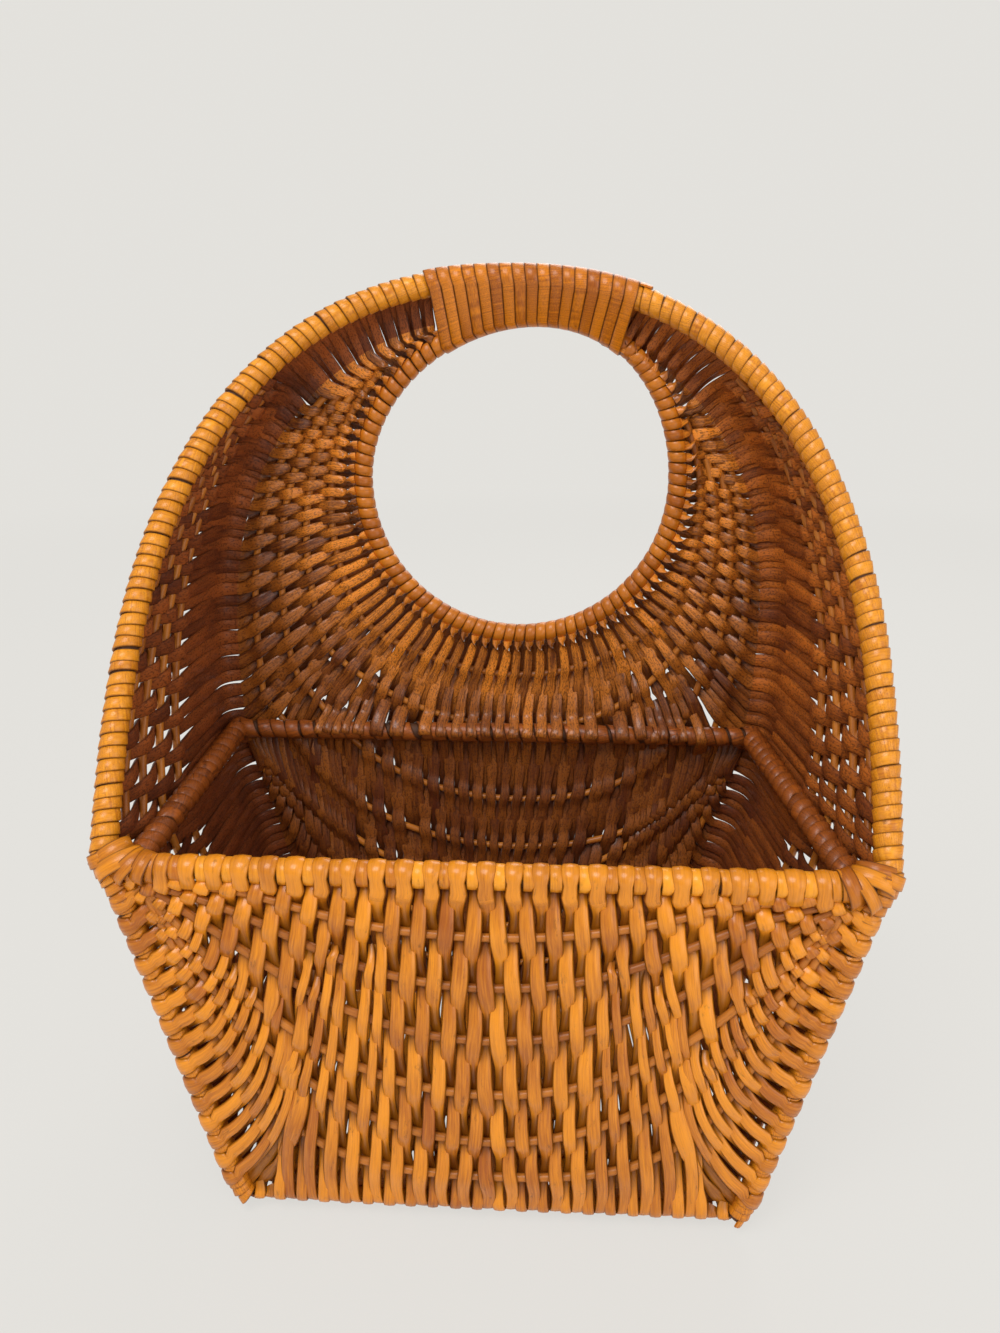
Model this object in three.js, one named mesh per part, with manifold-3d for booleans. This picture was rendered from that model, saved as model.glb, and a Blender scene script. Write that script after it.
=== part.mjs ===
// Wall basket: a woven cane pocket hung from a cane-wrapped hoop, with a round hand hole in its back.
// Millimetres, +Z up, +X to the right of someone who faces the basket. The wall is the plane y = 0 and
// the basket stands out from it towards -Y. Heights are measured from the flat base while the pieces are
// made, and the whole group is then lowered so that its origin is where the handle hangs on the wall.
import * as THREE from "three";
import { mergeVertices } from "three/addons/utils/BufferGeometryUtils.js";
import Module from "manifold-3d";

const wasm = await Module();
wasm.setup();

const vec = (x, y, z) => new THREE.Vector3(x, y, z);
const mix = THREE.MathUtils.lerp;
const radians = THREE.MathUtils.degToRad;

// Gap between neighbouring pieces
const clearance = 0.3;

// Rods, measured over the cane that wraps them, and the bare round ribs
const hoopDiameter = 12;
const ringDiameter = 9.6;
const rimDiameter = 11.4;
const sideRodDiameter = 11;
const backBarDiameter = 10.6;
const edgeDiameter = 9.3;
const ribDiameter = 3.9;

// Woven fill that lies against the ribs, how near its back comes to the ring's axis, and how near its
// sides come to the handle
const fillThickness = 3;
const hornWidth = 9;
const fillToHandle = 3;

// Pocket, to the axes of its rods: heights above the base, depths from the wall, half widths
const rimHeight = 178;
const rimHalf = 165;
const baseDepth = 171;
const frontLean = 6;
const rimDepth = baseDepth - frontLean;
const baseHalf = 116.5;
const backBaseHalf = 110;
const frontBow = 4;
const cornerRound = 10;
const barAboveRim = 8;
const backBarHeight = rimHeight + barAboveRim;

// Hoop, which starts outside the rim's ends, swells a little above them and leans back to the wall
const footOutset = 3.7;
const hoopFootHalf = rimHalf + footOutset;
const waistOutset = 2.3;
const hoopWaistHalf = hoopFootHalf + waistOutset;
const hoopWaistRise = 65;
const hoopTopHeight = 428.4;
const hoopTopDepth = 13;
const hoopRoundness = 2.3;
const hoopTail = 8;
const hoopFlare = 0.1;

// Crease where each side wall turns into the back, and how far this hand-made back sits off centre
const creaseInset = 13;
const creaseRound = 12;
const creaseStart = 0.35;
const backShiftLow = -9;
const backShiftHigh = -2;

// Ring round the hand hole: its top leans to the right
const ringRadius = 84.3;
const crownToRing = 100.9;
const ringHeight = hoopTopHeight - crownToRing;
const ringShift = 7;
const ringLean = 8.4;

// Flat cane bound round the hoop and the ring to make the handle, from its left to its right end
const handleOnHoop = [-37, 68];
const handleOnRing = [-33, 62];
const handleTurns = 17;
const handleClearance = 0.4;
const bindingToWall = 0.2;
const handleEndRoom = 0.045;
const caneThickness = 1.1;
const caneGap = 0.5;

// Flat cane bound round each end of the rim
const cornerTurns = 3;
const cornerCaneWidth = 5.2;
const cornerBindingStart = 160;

// Ribs that fan out of two corners and level off at the middle, drawn on a wall one unit wide from its
// middle and one unit high up to the rim: the height that each keeps at the middle, its fan angle below
// the level in degrees, where it starts from the corner, and how far it holds each direction
const frontFan = { half: 0.9212, height: 0.9663 };
const frontRibs = [
  { middle: 0.8483, angle: 2.78, start: 0.1939, cornerPull: 0.1818, middlePull: 0.4242 },
  { middle: 0.7135, angle: 13.95, start: 0.1206, cornerPull: 0.2654, middlePull: 0.3879 },
  { middle: 0.5674, angle: 32.99, start: 0.1184, cornerPull: 0.2959, middlePull: 0.3636 },
  { middle: 0.4101, angle: 50.89, start: 0.1156, cornerPull: 0.3354, middlePull: 0.3758 },
  { middle: 0.264, angle: 59.12, start: 0.2118, cornerPull: 0.2977, middlePull: 0.4 },
  { middle: 0.1517, angle: 66.98, start: 0.1136, cornerPull: 0.6702, middlePull: 0.5091 },
];

// Back ribs below the bar, which fan out of the two back corners in the same way
const backFan = { half: 0.8485, height: 0.9551 };
const lowerBackRibs = [
  { middle: 0.4775, angle: 44.83, start: 0.0699, cornerPull: 0.2914, middlePull: 0.3758 },
  { middle: 0.3146, angle: 57.05, start: 0.1492, cornerPull: 0.3214, middlePull: 0.4 },
  { middle: 0.1685, angle: 67.51, start: 0.0681, cornerPull: 0.6131, middlePull: 0.5091 },
];

// Back ribs round the hand hole: the share of the way from the ring to the crease that each keeps, where
// it hangs at the middle, as a share of the way from the back bar up to the ring or, below 0, down to the
// base, and how narrow the back gets, in radii of the ring, before the rib ends beside the handle. Angles
// are from straight down: where the ribs start to swing under the hole, which is towards the pocket's back
// corners, and the furthest that they reach.
const holeRibTurn = Math.atan2(hoopFootHalf, ringHeight - backBarHeight);
const holeRibEnd = radians(150);
const holeRibs = [
  { share: 0.24, hang: 0.568, leastRoom: 0.154 },
  { share: 0.46, hang: 0.009, leastRoom: 0.273 },
  { share: 0.67, hang: -0.239, leastRoom: 0.154 },
  { share: 0.87, hang: -0.406, leastRoom: 0.273 },
];

// Cradle ribs, which run down one side wall, under the pocket and up the other: share of the way from
// the crease to the front, and how narrow the side wall gets, in radii of the ring, before each one ends
// beside the handle. None climbs further than this.
const cradleRibEnd = 1.9;
const cradleRibs = [
  { share: 0.5, leastRoom: 0.332 },
  { share: 0.66, leastRoom: 0.498 },
  { share: 0.82, leastRoom: 0.332 },
  { share: 0.97, leastRoom: 0.498 },
];

// Where ribs and fill lie in the thickness of a woven wall, from its middle surface
const wallHalf = (ribDiameter + clearance + fillThickness) / 2;
const ribOffset = wallHalf - ribDiameter / 2;
const ribLayer = wallHalf + ribOffset;
const fillNear = wallHalf - fillThickness;

// Weave of a side's fill: how far it swings in between the ribs in every other course, how many courses
// there are below and above the rim, how wide the wall is where the swing begins and where it is full,
// and how much of the fill stays flat beside a rib
const swingDepth = wallHalf;
const pocketCourses = 12;
const hoopCourses = 26;
const swingRoom = [45, 75];
const flatBesideRib = 0.7 * ribDiameter;

// Facets: sides of a section, steps along a line, and steps in a turn
const rodSides = 8;
const ribSides = 6;
const hoopSteps = 60;
const ringSteps = 52;
const edgeSteps = 20;
const cradleSteps = 56;
const holeRibSteps = 36;
const fanSteps = 22;
const frontSteps = 4;
const handleTurnSteps = 16;
const cornerTurnSteps = 14;

// Solids

// A closed geometry from points and triangles, turned so that its faces point out
function closedGeometry(points, triangles) {
  let volume = 0;
  for (const [a, b, c] of triangles) {
    volume += points[a].dot(points[b].clone().cross(points[c]));
  }
  const index = triangles.flatMap(([a, b, c]) => (volume < 0 ? [a, c, b] : [a, b, c]));
  const geometry = new THREE.BufferGeometry().setFromPoints(points);
  geometry.setIndex(index);
  geometry.computeVertexNormals();
  return geometry;
}

// Joins rings of points into one skin, closed on itself or capped at both ends
function skin(rings, closed = false) {
  const sides = rings[0].length;
  const triangles = [];
  const spans = closed ? rings.length : rings.length - 1;
  for (let i = 0; i < spans; i++) {
    const here = i * sides;
    const next = ((i + 1) % rings.length) * sides;
    for (let j = 0; j < sides; j++) {
      const k = (j + 1) % sides;
      triangles.push([here + j, here + k, next + k], [here + j, next + k, next + j]);
    }
  }
  if (!closed) {
    const last = (rings.length - 1) * sides;
    for (let j = 1; j < sides - 1; j++) {
      triangles.push([0, j + 1, j], [last, last + j, last + j + 1]);
    }
  }
  return closedGeometry(rings.flat(), triangles);
}

// A round rod along a curve
function rod(curve, diameter, steps, sides = rodSides, closed = false) {
  const frames = curve.computeFrenetFrames(steps, closed);
  const rings = [];
  for (let i = 0; i < (closed ? steps : steps + 1); i++) {
    const centre = curve.getPointAt(i / steps);
    const ring = [];
    for (let j = 0; j < sides; j++) {
      const angle = (2 * Math.PI * j) / sides;
      const out = frames.normals[i].clone().multiplyScalar(Math.cos(angle));
      out.addScaledVector(frames.binormals[i], Math.sin(angle));
      ring.push(centre.clone().addScaledVector(out, diameter / 2));
    }
    rings.push(ring);
  }
  return skin(rings, closed);
}

// The room that a rod needs: its own shape grown by the clearance, facets included
function room(curve, diameter, steps, closed = false) {
  const grown = (diameter + 2 * clearance) / Math.cos(Math.PI / rodSides);
  return rod(curve, grown, steps, rodSides, closed);
}

// A wall of even thickness on a grid of points and outward normals, from one offset to another
function shell(grid, near, far) {
  const rows = grid.length;
  const columns = grid[0].length;
  const layer = (offset) =>
    grid.flat().map(({ point, normal }) => point.clone().addScaledVector(normal, offset));
  const points = [...layer(far), ...layer(near)];
  const under = rows * columns;
  const at = (i, j) => i * columns + j;
  const triangles = [];
  for (let i = 0; i < rows - 1; i++) {
    for (let j = 0; j < columns - 1; j++) {
      const [a, b, c, d] = [at(i, j), at(i, j + 1), at(i + 1, j + 1), at(i + 1, j)];
      triangles.push([a, b, c], [a, c, d]);
      triangles.push([under + a, under + c, under + b], [under + a, under + d, under + c]);
    }
  }
  const border = [];
  for (let j = 0; j < columns - 1; j++) border.push(at(0, j));
  for (let i = 0; i < rows - 1; i++) border.push(at(i, columns - 1));
  for (let j = columns - 1; j > 0; j--) border.push(at(rows - 1, j));
  for (let i = rows - 1; i > 0; i--) border.push(at(i, 0));
  border.forEach((a, k) => {
    const b = border[(k + 1) % border.length];
    triangles.push([a, under + a, under + b], [a, under + b, b]);
  });
  return closedGeometry(points, triangles);
}

// A flat plate that stands on edge, from an outline in x and z, with its back on the plane y = back
function standingPlate(outline, thickness, back) {
  const plate = new THREE.ExtrudeGeometry(new THREE.Shape(outline), {
    depth: thickness,
    bevelEnabled: false,
    curveSegments: 1,
  });
  return plate.rotateX(Math.PI / 2).translate(0, back, 0);
}

function toSolid(geometry) {
  const bare = geometry.clone();
  bare.deleteAttribute("normal");
  bare.deleteAttribute("uv");
  const merged = mergeVertices(bare, 1e-3);
  return new wasm.Manifold(
    new wasm.Mesh({
      numProp: 3,
      vertProperties: merged.attributes.position.array,
      triVerts: new Uint32Array(merged.index.array),
    }),
  );
}

// Cuts the room of its neighbours out of a piece, and leaves the off-cuts past a joint behind
function cope(geometry, ...rooms) {
  let solid = toSolid(geometry);
  for (const taken of rooms) solid = solid.subtract(toSolid(taken));
  const [kept] = solid.decompose().sort((a, b) => b.volume() - a.volume());
  const mesh = kept.getMesh();
  const made = new THREE.BufferGeometry();
  made.setAttribute("position", new THREE.BufferAttribute(mesh.vertProperties, mesh.numProp));
  made.setIndex(new THREE.BufferAttribute(mesh.triVerts, 1));
  made.computeVertexNormals();
  return made;
}

// Lines that the pieces share

const straight = (from, to) => new THREE.LineCurve3(from, to);
const smooth = (points, closed = false) => new THREE.CatmullRomCurve3(points, closed, "centripetal");

// One side of the pocket seen from the front: base, rounded corner and sloping edge up to the rim
function pocketSide(baseWidth, rimWidth, floor) {
  const corner = new THREE.Vector2(baseWidth, floor);
  const rim = new THREE.Vector2(rimWidth, rimHeight);
  const up = rim.clone().sub(corner).normalize();
  const side = new THREE.Path().moveTo(baseWidth - cornerRound, floor);
  const bendEnd = corner.clone().addScaledVector(up, cornerRound);
  side.quadraticCurveTo(corner.x, corner.y, bendEnd.x, bendEnd.y);
  return side.lineTo(rim.x, rim.y);
}

const frontSide = pocketSide(baseHalf, rimHalf, wallHalf);
const backSide = pocketSide(backBaseHalf, hoopFootHalf - creaseInset, wallHalf);

// How far the front stands from the wall at a height, and at a share of the way out from its middle
function frontDepth(height, across) {
  const rise = THREE.MathUtils.clamp(height / rimHeight, 0, 1);
  const bow = frontBow * (1 - across * across) * Math.sin(Math.PI * rise);
  return mix(baseDepth, rimDepth, rise) + bow;
}

// A point of the leaning plane that holds the hoop, from its distance up the slope
const hoopSlope = Math.hypot(hoopTopHeight - rimHeight, rimDepth - hoopTopDepth);
function onHoopPlane(x, rise) {
  const share = rise / hoopSlope;
  return vec(x, -mix(rimDepth, hoopTopDepth, share), mix(rimHeight, hoopTopHeight, share));
}

// Points of one leg and half the crown, from the foot up
function hoopHalf(side) {
  const points = [];
  for (let i = 0; i < 4; i++) {
    const bulge = Math.sin((Math.PI / 2) * (i / 4));
    points.push(onHoopPlane(side * mix(hoopFootHalf, hoopWaistHalf, bulge), (hoopWaistRise * i) / 4));
  }
  for (let i = 0; i <= 12; i++) {
    const turn = ((Math.PI / 2) * i) / 12;
    const x = side * hoopWaistHalf * Math.max(Math.cos(turn), 0) ** (2 / hoopRoundness);
    const rise = (hoopSlope - hoopWaistRise) * Math.sin(turn) ** (2 / hoopRoundness);
    points.push(onHoopPlane(x, hoopWaistRise + rise));
  }
  return points;
}

const hoopPoints = [...hoopHalf(-1), ...hoopHalf(1).reverse().slice(1)];
const hoopTails = [-1, 1].map((side) => onHoopPlane(side * hoopFootHalf, -hoopTail));
const hoopLine = smooth(hoopPoints);
const hoopRod = smooth([hoopTails[0], ...hoopPoints, hoopTails[1]]);

// The ring's axis at an angle up from straight down, positive to the right
const ringDepth = ringDiameter / 2 + handleClearance + caneThickness + bindingToWall;
function ringPoint(angle, radius = ringRadius) {
  const rise = -Math.cos(angle);
  const lean = rise > 0 ? ringLean * rise * rise : 0;
  const x = ringShift + lean + radius * Math.sin(angle);
  return vec(x, -ringDepth, ringHeight + radius * rise);
}

// Points evenly round the ring, or round a wider circle about the same centre
function ringPoints(radius) {
  const points = [];
  for (let i = 0; i < ringSteps; i++) points.push(ringPoint((2 * Math.PI * i) / ringSteps, radius));
  return points;
}

const ringLine = smooth(ringPoints(ringRadius), true);

// A station up one side wall: 0 to 1 climbs the pocket, 1 to 2 climbs the hoop to its crown. It holds
// the wall's front and its crease with the back, the outward direction there and the crease's size.
function wallStation(side, climb) {
  const station = climb <= 1 ? pocketStation(side, climb) : hoopStation(side, climb - 1);
  const halfWall = station.front.distanceTo(station.crease) / 2;
  const opening = THREE.MathUtils.smoothstep(climb, 0, creaseStart);
  return { ...station, reach: Math.min(creaseRound, halfWall) * opening };
}

function pocketStation(side, climb) {
  const front = frontSide.getPoint(climb);
  const back = backSide.getPoint(climb);
  const along = backSide.getTangent(THREE.MathUtils.clamp(climb, 1e-4, 1 - 1e-4));
  return {
    front: vec(side * front.x, -frontDepth(front.y, 1), front.y),
    crease: vec(side * back.x + backShiftLow, -wallHalf, back.y),
    out: vec(side * along.y, 0, -along.x),
  };
}

function hoopStation(side, climb) {
  const at = side < 0 ? climb / 2 : 1 - climb / 2;
  const front = hoopLine.getPointAt(at);
  const along = hoopLine.getTangentAt(at).multiplyScalar(-side);
  const out = vec(side * along.z, 0, -side * along.x).normalize();
  const height = (front.z - rimHeight) / (hoopTopHeight - rimHeight);
  const crease = front.clone().addScaledVector(out, -creaseInset);
  crease.x += mix(backShiftLow, backShiftHigh, height);
  crease.y = -wallHalf;
  front.x -= side * (hoopFootHalf - rimHalf) * Math.max(0, 1 - climb / hoopFlare);
  return { front, crease, out };
}

// A point across a side wall: -1 to 0 goes round the crease, 0 to 1 runs straight to the front
function wallPoint(side, climb, across) {
  const station = wallStation(side, climb);
  const { reach } = station;
  const forward = station.front.clone().sub(station.crease).normalize();
  const bendStart = station.crease.clone().addScaledVector(station.out, -reach);
  const bendEnd = station.crease.clone().addScaledVector(forward, reach);
  if (across >= 0) return bendEnd.lerp(station.front, across);
  const bend = new THREE.QuadraticBezierCurve3(bendStart, station.crease, bendEnd);
  return bend.getPoint(across + 1);
}

// The same with its outward normal, from the surface on both sides of the point
function onWall(side, climb, across) {
  const step = 1e-3;
  const up = wallPoint(side, climb + step, across).sub(wallPoint(side, climb - step, across));
  const low = Math.max(across - step, -1);
  const forward = wallPoint(side, climb, across + step).sub(wallPoint(side, climb, low));
  const normal = up.cross(forward).multiplyScalar(side).normalize();
  return { point: wallPoint(side, climb, across), normal };
}

// How far up the hoop a side wall reaches before the handle binding
function wallTop(side) {
  const end = handleOnHoop[side < 0 ? 0 : 1];
  let climb = 2;
  while (side * wallStation(side, climb).front.x < side * end + fillToHandle) climb -= 0.002;
  return climb;
}

// Wrapped rods

const rimLine = straight(vec(-hoopFootHalf, -rimDepth, rimHeight), vec(hoopFootHalf, -rimDepth, rimHeight));

// Each front edge rod follows the pocket's side, down and round its bottom corner
function edgeLine(side) {
  const outline = pocketSide(baseHalf, rimHalf, edgeDiameter / 2);
  const points = [];
  for (let i = 0; i <= 16; i++) {
    const { x, y } = outline.getPoint(i / 16);
    if (y < rimHeight - rimDiameter / 2) points.push(vec(side * x, -frontDepth(y, 1), y));
  }
  return smooth(points);
}

// Each side rod lies against the cradle ribs, from the rim back to the back ribs
function sideRodLine(side) {
  const inward = wallHalf + clearance + sideRodDiameter / 2;
  const { front, crease } = wallStation(side, 1);
  const backEnd = -(2 * wallHalf + clearance);
  const share = (backEnd - crease.y) / (front.y - crease.y);
  const rear = crease.clone().lerp(front, share).add(vec(-side * inward, 0, backBarHeight - rimHeight));
  const fore = front.clone().add(vec(-side * inward, 0, 0));
  return straight(rear, fore);
}

// The back bar lies in front of the back ribs, between the side rods
const barDepth = 2 * wallHalf + clearance + backBarDiameter / 2;
function barEnd(side) {
  return vec(sideRodLine(side).getPoint(0).x, -barDepth, backBarHeight);
}
const barLine = straight(barEnd(-1), barEnd(1));

// The stretch of the rim that a corner binding takes
function bindingLine(side) {
  const length = cornerTurns * (cornerCaneWidth + caneGap);
  return straight(
    vec(side * (cornerBindingStart - length), -rimDepth, rimHeight),
    vec(side * cornerBindingStart, -rimDepth, rimHeight),
  );
}

const bindingDiameter = rimDiameter + 2 * (clearance + caneThickness);
const hoopRoom = room(hoopRod, hoopDiameter, hoopSteps);
const ringRoom = room(ringLine, ringDiameter, ringSteps, true);
const rimRoom = room(rimLine, rimDiameter, 1);
const edgeRoom = (side) => room(edgeLine(side), edgeDiameter, edgeSteps);
const sideRodRoom = (side) => room(sideRodLine(side), sideRodDiameter, 1);
const bindingRoom = (side) => room(bindingLine(side), bindingDiameter, 1);

// Woven fill

// Stations up a pocket's side, close together round its bottom corner, and then in even steps to the rim
const cornerClimbs = [0.002, 0.02, 0.04, 0.06, 0.08, 0.11];
const rimClimb = 0.998;
function pocketClimbs(steps) {
  const climbs = [...cornerClimbs];
  for (let i = 1; i <= steps; i++) climbs.push(mix(cornerClimbs.at(-1), rimClimb, i / steps));
  return climbs;
}

// The same, a step to each course, and then on up the hoop
function climbsTo(top) {
  const climbs = pocketClimbs(pocketCourses);
  for (let i = 1; i <= hoopCourses; i++) climbs.push(mix(1, top, i / hoopCourses));
  return climbs;
}

// The front's fill is plain and lies behind its ribs
function frontFill() {
  const rows = [];
  for (const climb of pocketClimbs(frontSteps)) {
    const edge = frontSide.getPoint(climb);
    const row = [];
    for (let j = 0; j <= 14; j++) {
      const across = mix(-1, 1, j / 14);
      const point = vec(across * edge.x, -frontDepth(edge.y, across), edge.y);
      row.push({ point, normal: vec(0, -1, 0) });
    }
    rows.push(row);
  }
  const fill = shell(rows, -wallHalf, -fillNear);
  return cope(fill, rimRoom, bindingRoom(-1), bindingRoom(1), edgeRoom(-1), edgeRoom(1));
}

// A course of a side's weave: it lies flat round the crease and beside each rib, and between two ribs it
// swings in or stays out, in turn
function course(side, climb, number) {
  const width = wallWidth(side, climb);
  const ribs = cradleRibs.map(({ share }) => ribAcross(side, climb, share));
  const flat = Math.min(flatBesideRib / width, (ribs[1] - ribs[0]) / 4);
  const grown = THREE.MathUtils.smoothstep(width, ...swingRoom) * (number < cornerClimbs.length ? 0 : 1);
  const places = [-1, -0.5, 0].map((across) => ({ across, swing: 0 }));
  ribs.forEach((rib, cell) => {
    const start = places.at(-1).across;
    const end = rib - flat;
    const swing = (number + cell) % 2 ? -swingDepth * grown : 0;
    for (const part of cell ? [0.5] : [0.2, 0.8]) places.push({ across: mix(start, end, part), swing });
    places.push({ across: end, swing: 0 }, { across: rib + flat, swing: 0 });
  });
  places[places.length - 1].across = 1;
  return places.map(({ across, swing }) => {
    const { point, normal } = onWall(side, climb, across);
    return { point: point.addScaledVector(normal, swing), normal };
  });
}

// Each side's fill lies outside its ribs, and turns the crease to the edge of the back's fill
function sideFill(side) {
  const courses = climbsTo(wallTop(side)).map((climb, number) => course(side, climb, number));
  const fill = shell(courses, fillNear, wallHalf);
  const rooms = [hoopRoom, ringRoom, handleRoom(), rimRoom, edgeRoom(side), bindingRoom(side)];
  return cope(fill, ...rooms);
}

// The back's outline on one side, from the base up to where it gets too narrow beside the ring
function backEdge(side) {
  const points = [];
  for (const climb of climbsTo(wallTop(side))) {
    const { crease, out, reach } = wallStation(side, climb);
    const { x, z } = crease.addScaledVector(out, -(reach + clearance));
    if (Math.hypot(x - ringShift, z - ringHeight) > ringRadius + hornWidth) {
      points.push(new THREE.Vector2(x, z));
    }
  }
  return points;
}

// The back's fill is one plate with the ring's room cut out of its top
function backFill() {
  const floor = fillThickness + clearance;
  const [left, right] = [backEdge(-1), backEdge(1)];
  const base = [right, left].map(([foot]) => new THREE.Vector2(foot.x, floor));
  const plate = standingPlate([base[0], ...right, ...left.reverse(), base[1]], fillThickness, 0);
  const radius = ringRadius + ringDiameter / 2 + clearance;
  const hole = ringPoints(radius).map(({ x, z }) => new THREE.Vector2(x, z));
  return cope(plate, standingPlate(hole, 3 * fillThickness, fillThickness));
}

// The base's fill is flat, so that the basket also stands
function baseFill() {
  const frontY = -(baseDepth + wallHalf);
  const half = baseHalf - cornerRound - clearance;
  const backHalf = backBaseHalf - cornerRound - clearance;
  const outline = new THREE.Shape([
    new THREE.Vector2(-half, frontY),
    new THREE.Vector2(half, frontY),
    new THREE.Vector2(backHalf + backShiftLow, 0),
    new THREE.Vector2(-backHalf + backShiftLow, 0),
  ]);
  const plate = new THREE.ExtrudeGeometry(outline, { depth: fillThickness, bevelEnabled: false });
  return cope(plate, edgeRoom(-1), edgeRoom(1));
}

// Ribs

// One half of a rib that fans out of a corner and levels off at the middle
function fanHalf(side, fan, shift, rib) {
  const angle = radians(rib.angle);
  const out = new THREE.Vector2(-Math.cos(angle), -Math.sin(angle));
  const from = new THREE.Vector2(fan.half, fan.height).addScaledVector(out, rib.start);
  const bend = new THREE.CubicBezierCurve(
    from,
    from.clone().addScaledVector(out, rib.cornerPull),
    new THREE.Vector2(rib.middlePull, rib.middle),
    new THREE.Vector2(0, rib.middle),
  );
  const place = ({ x, y }) => new THREE.Vector2(side * x * rimHalf + shift, y * rimHeight);
  return bend.getPoints(9).map(place);
}

function fanLine(fan, shift, rib) {
  return [...fanHalf(-1, fan, shift, rib), ...fanHalf(1, fan, shift, rib).reverse().slice(1)];
}

function frontRib(rib) {
  const points = fanLine(frontFan, 0, rib).map(({ x, y }) => {
    const half = mix(baseHalf, rimHalf, y / rimHeight);
    return vec(x, -(frontDepth(y, x / half) + ribOffset), y);
  });
  const whole = rod(smooth(points), ribDiameter, fanSteps, ribSides);
  return cope(whole, rimRoom, edgeRoom(-1), edgeRoom(1));
}

function lowerBackRib(rib) {
  const points = fanLine(backFan, backShiftLow, rib).map(({ x, y }) => vec(x, -ribLayer, y));
  return rod(smooth(points), ribDiameter, fanSteps, ribSides);
}

// The distance from the ring's centre to the rounded crease, at an angle up from straight down
function creaseDistance(angle) {
  const side = angle < 0 ? -1 : 1;
  let [low, high] = [0.6, 1.95];
  let distance = 0;
  for (let i = 0; i < 16; i++) {
    const climb = (low + high) / 2;
    const { crease, out, reach } = wallStation(side, climb);
    const edge = crease.addScaledVector(out, -reach);
    const turn = Math.atan2(side * (edge.x - ringShift), ringHeight - edge.z);
    if (turn < Math.abs(angle)) low = climb;
    else high = climb;
    distance = Math.hypot(edge.x - ringShift, edge.z - ringHeight);
  }
  return distance;
}

// The height that a rib round the hand hole keeps at the middle
function hangingHeight({ hang }) {
  const end = hang > 0 ? ringHeight - ringRadius : 0;
  return mix(backBarHeight, end, Math.abs(hang));
}

// A rib round the hand hole: beside the ring it keeps its share of the way to the crease, and below
// the ring it swings to its own depth
function holeRibPoint(rib, angle) {
  const side = angle < 0 ? -1 : 1;
  const beside = creaseDistance(side * Math.max(Math.abs(angle), holeRibTurn));
  const kept = mix(ringRadius + ringDiameter / 2, beside, rib.share);
  const swing = THREE.MathUtils.smoothstep(Math.cos(angle), Math.cos(holeRibTurn), 1);
  const distance = mix(kept, ringHeight - hangingHeight(rib), swing);
  const x = ringShift + distance * Math.sin(angle);
  return vec(x, -ribLayer, ringHeight - distance * Math.cos(angle));
}

function holeRib(rib) {
  const narrow = ringRadius + ringDiameter / 2 + rib.leastRoom * ringRadius;
  const reach = (side) => {
    let angle = Math.PI / 2;
    while (angle < holeRibEnd && creaseDistance(side * angle) > narrow) angle += 0.01;
    return side * angle;
  };
  const [from, to] = [reach(-1), reach(1)];
  const points = [];
  for (let i = 0; i <= holeRibSteps; i++) {
    points.push(holeRibPoint(rib, mix(from, to, i / holeRibSteps)));
  }
  return rod(smooth(points), ribDiameter, holeRibSteps, ribSides);
}

// How wide a side wall is between its crease and its front
function wallWidth(side, climb) {
  const { front, crease, reach } = wallStation(side, climb);
  return front.distanceTo(crease) - reach;
}

// How far across a side wall a cradle rib lies, for its share of the way to a place beside the hoop
function ribAcross(side, climb, share) {
  const beside = (hoopDiameter + ribDiameter) / 2 + clearance;
  return share * (1 - beside / Math.max(wallWidth(side, climb), 2 * beside));
}

// A cradle rib keeps its share across both side walls and runs straight under the pocket
function cradleRib({ share, leastRoom }) {
  const half = (side) => {
    let top = 1;
    while (top < cradleRibEnd && wallWidth(side, top) > leastRoom * ringRadius) top += 0.005;
    const climbs = [];
    for (let i = 0; i <= 12; i++) climbs.push(mix(top, 1, i / 12));
    climbs.push(0.75, 0.5, 0.25, 0.1, 0.05, 0.002);
    return climbs.map((climb) => {
      const { point, normal } = onWall(side, climb, ribAcross(side, climb, share));
      return point.addScaledVector(normal, -ribOffset);
    });
  };
  const left = half(-1);
  const right = half(1).reverse();
  const under = [0.04, 0.5, 0.96].map((part) => left.at(-1).clone().lerp(right[0], part));
  return rod(smooth([...left, ...under, ...right]), ribDiameter, cradleSteps, ribSides);
}

// Bindings of flat cane

// Where a curve reaches a height along x, searched between two values of its own measure
function crossing(curve, x, low, high) {
  let [from, to] = [low, high];
  for (let i = 0; i < 30; i++) {
    const middle = (from + to) / 2;
    if (curve(middle).x < x) from = middle;
    else to = middle;
  }
  return (from + to) / 2;
}

// The upper stretches of hoop and ring, each in its own measure
const hoopCrown = [0.2, 0.8];
const ringCrown = [radians(125), radians(240)];

// A section of the handle at a share of its length: the axes of hoop and ring, and their directions
function handleSection(share) {
  const onHoop = (t) => hoopLine.getPoint(t);
  const onRing = (turn) => ringPoint(-turn);
  const section = (curve, ends, low, high) => {
    const at = crossing(curve, mix(...ends, share), low, high);
    const along = curve(at + 0.01).sub(curve(at - 0.01)).normalize();
    return { axis: curve(at), along };
  };
  return {
    hoop: section(onHoop, handleOnHoop, ...hoopCrown),
    ring: section(onRing, handleOnRing, ...ringCrown),
  };
}

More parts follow.
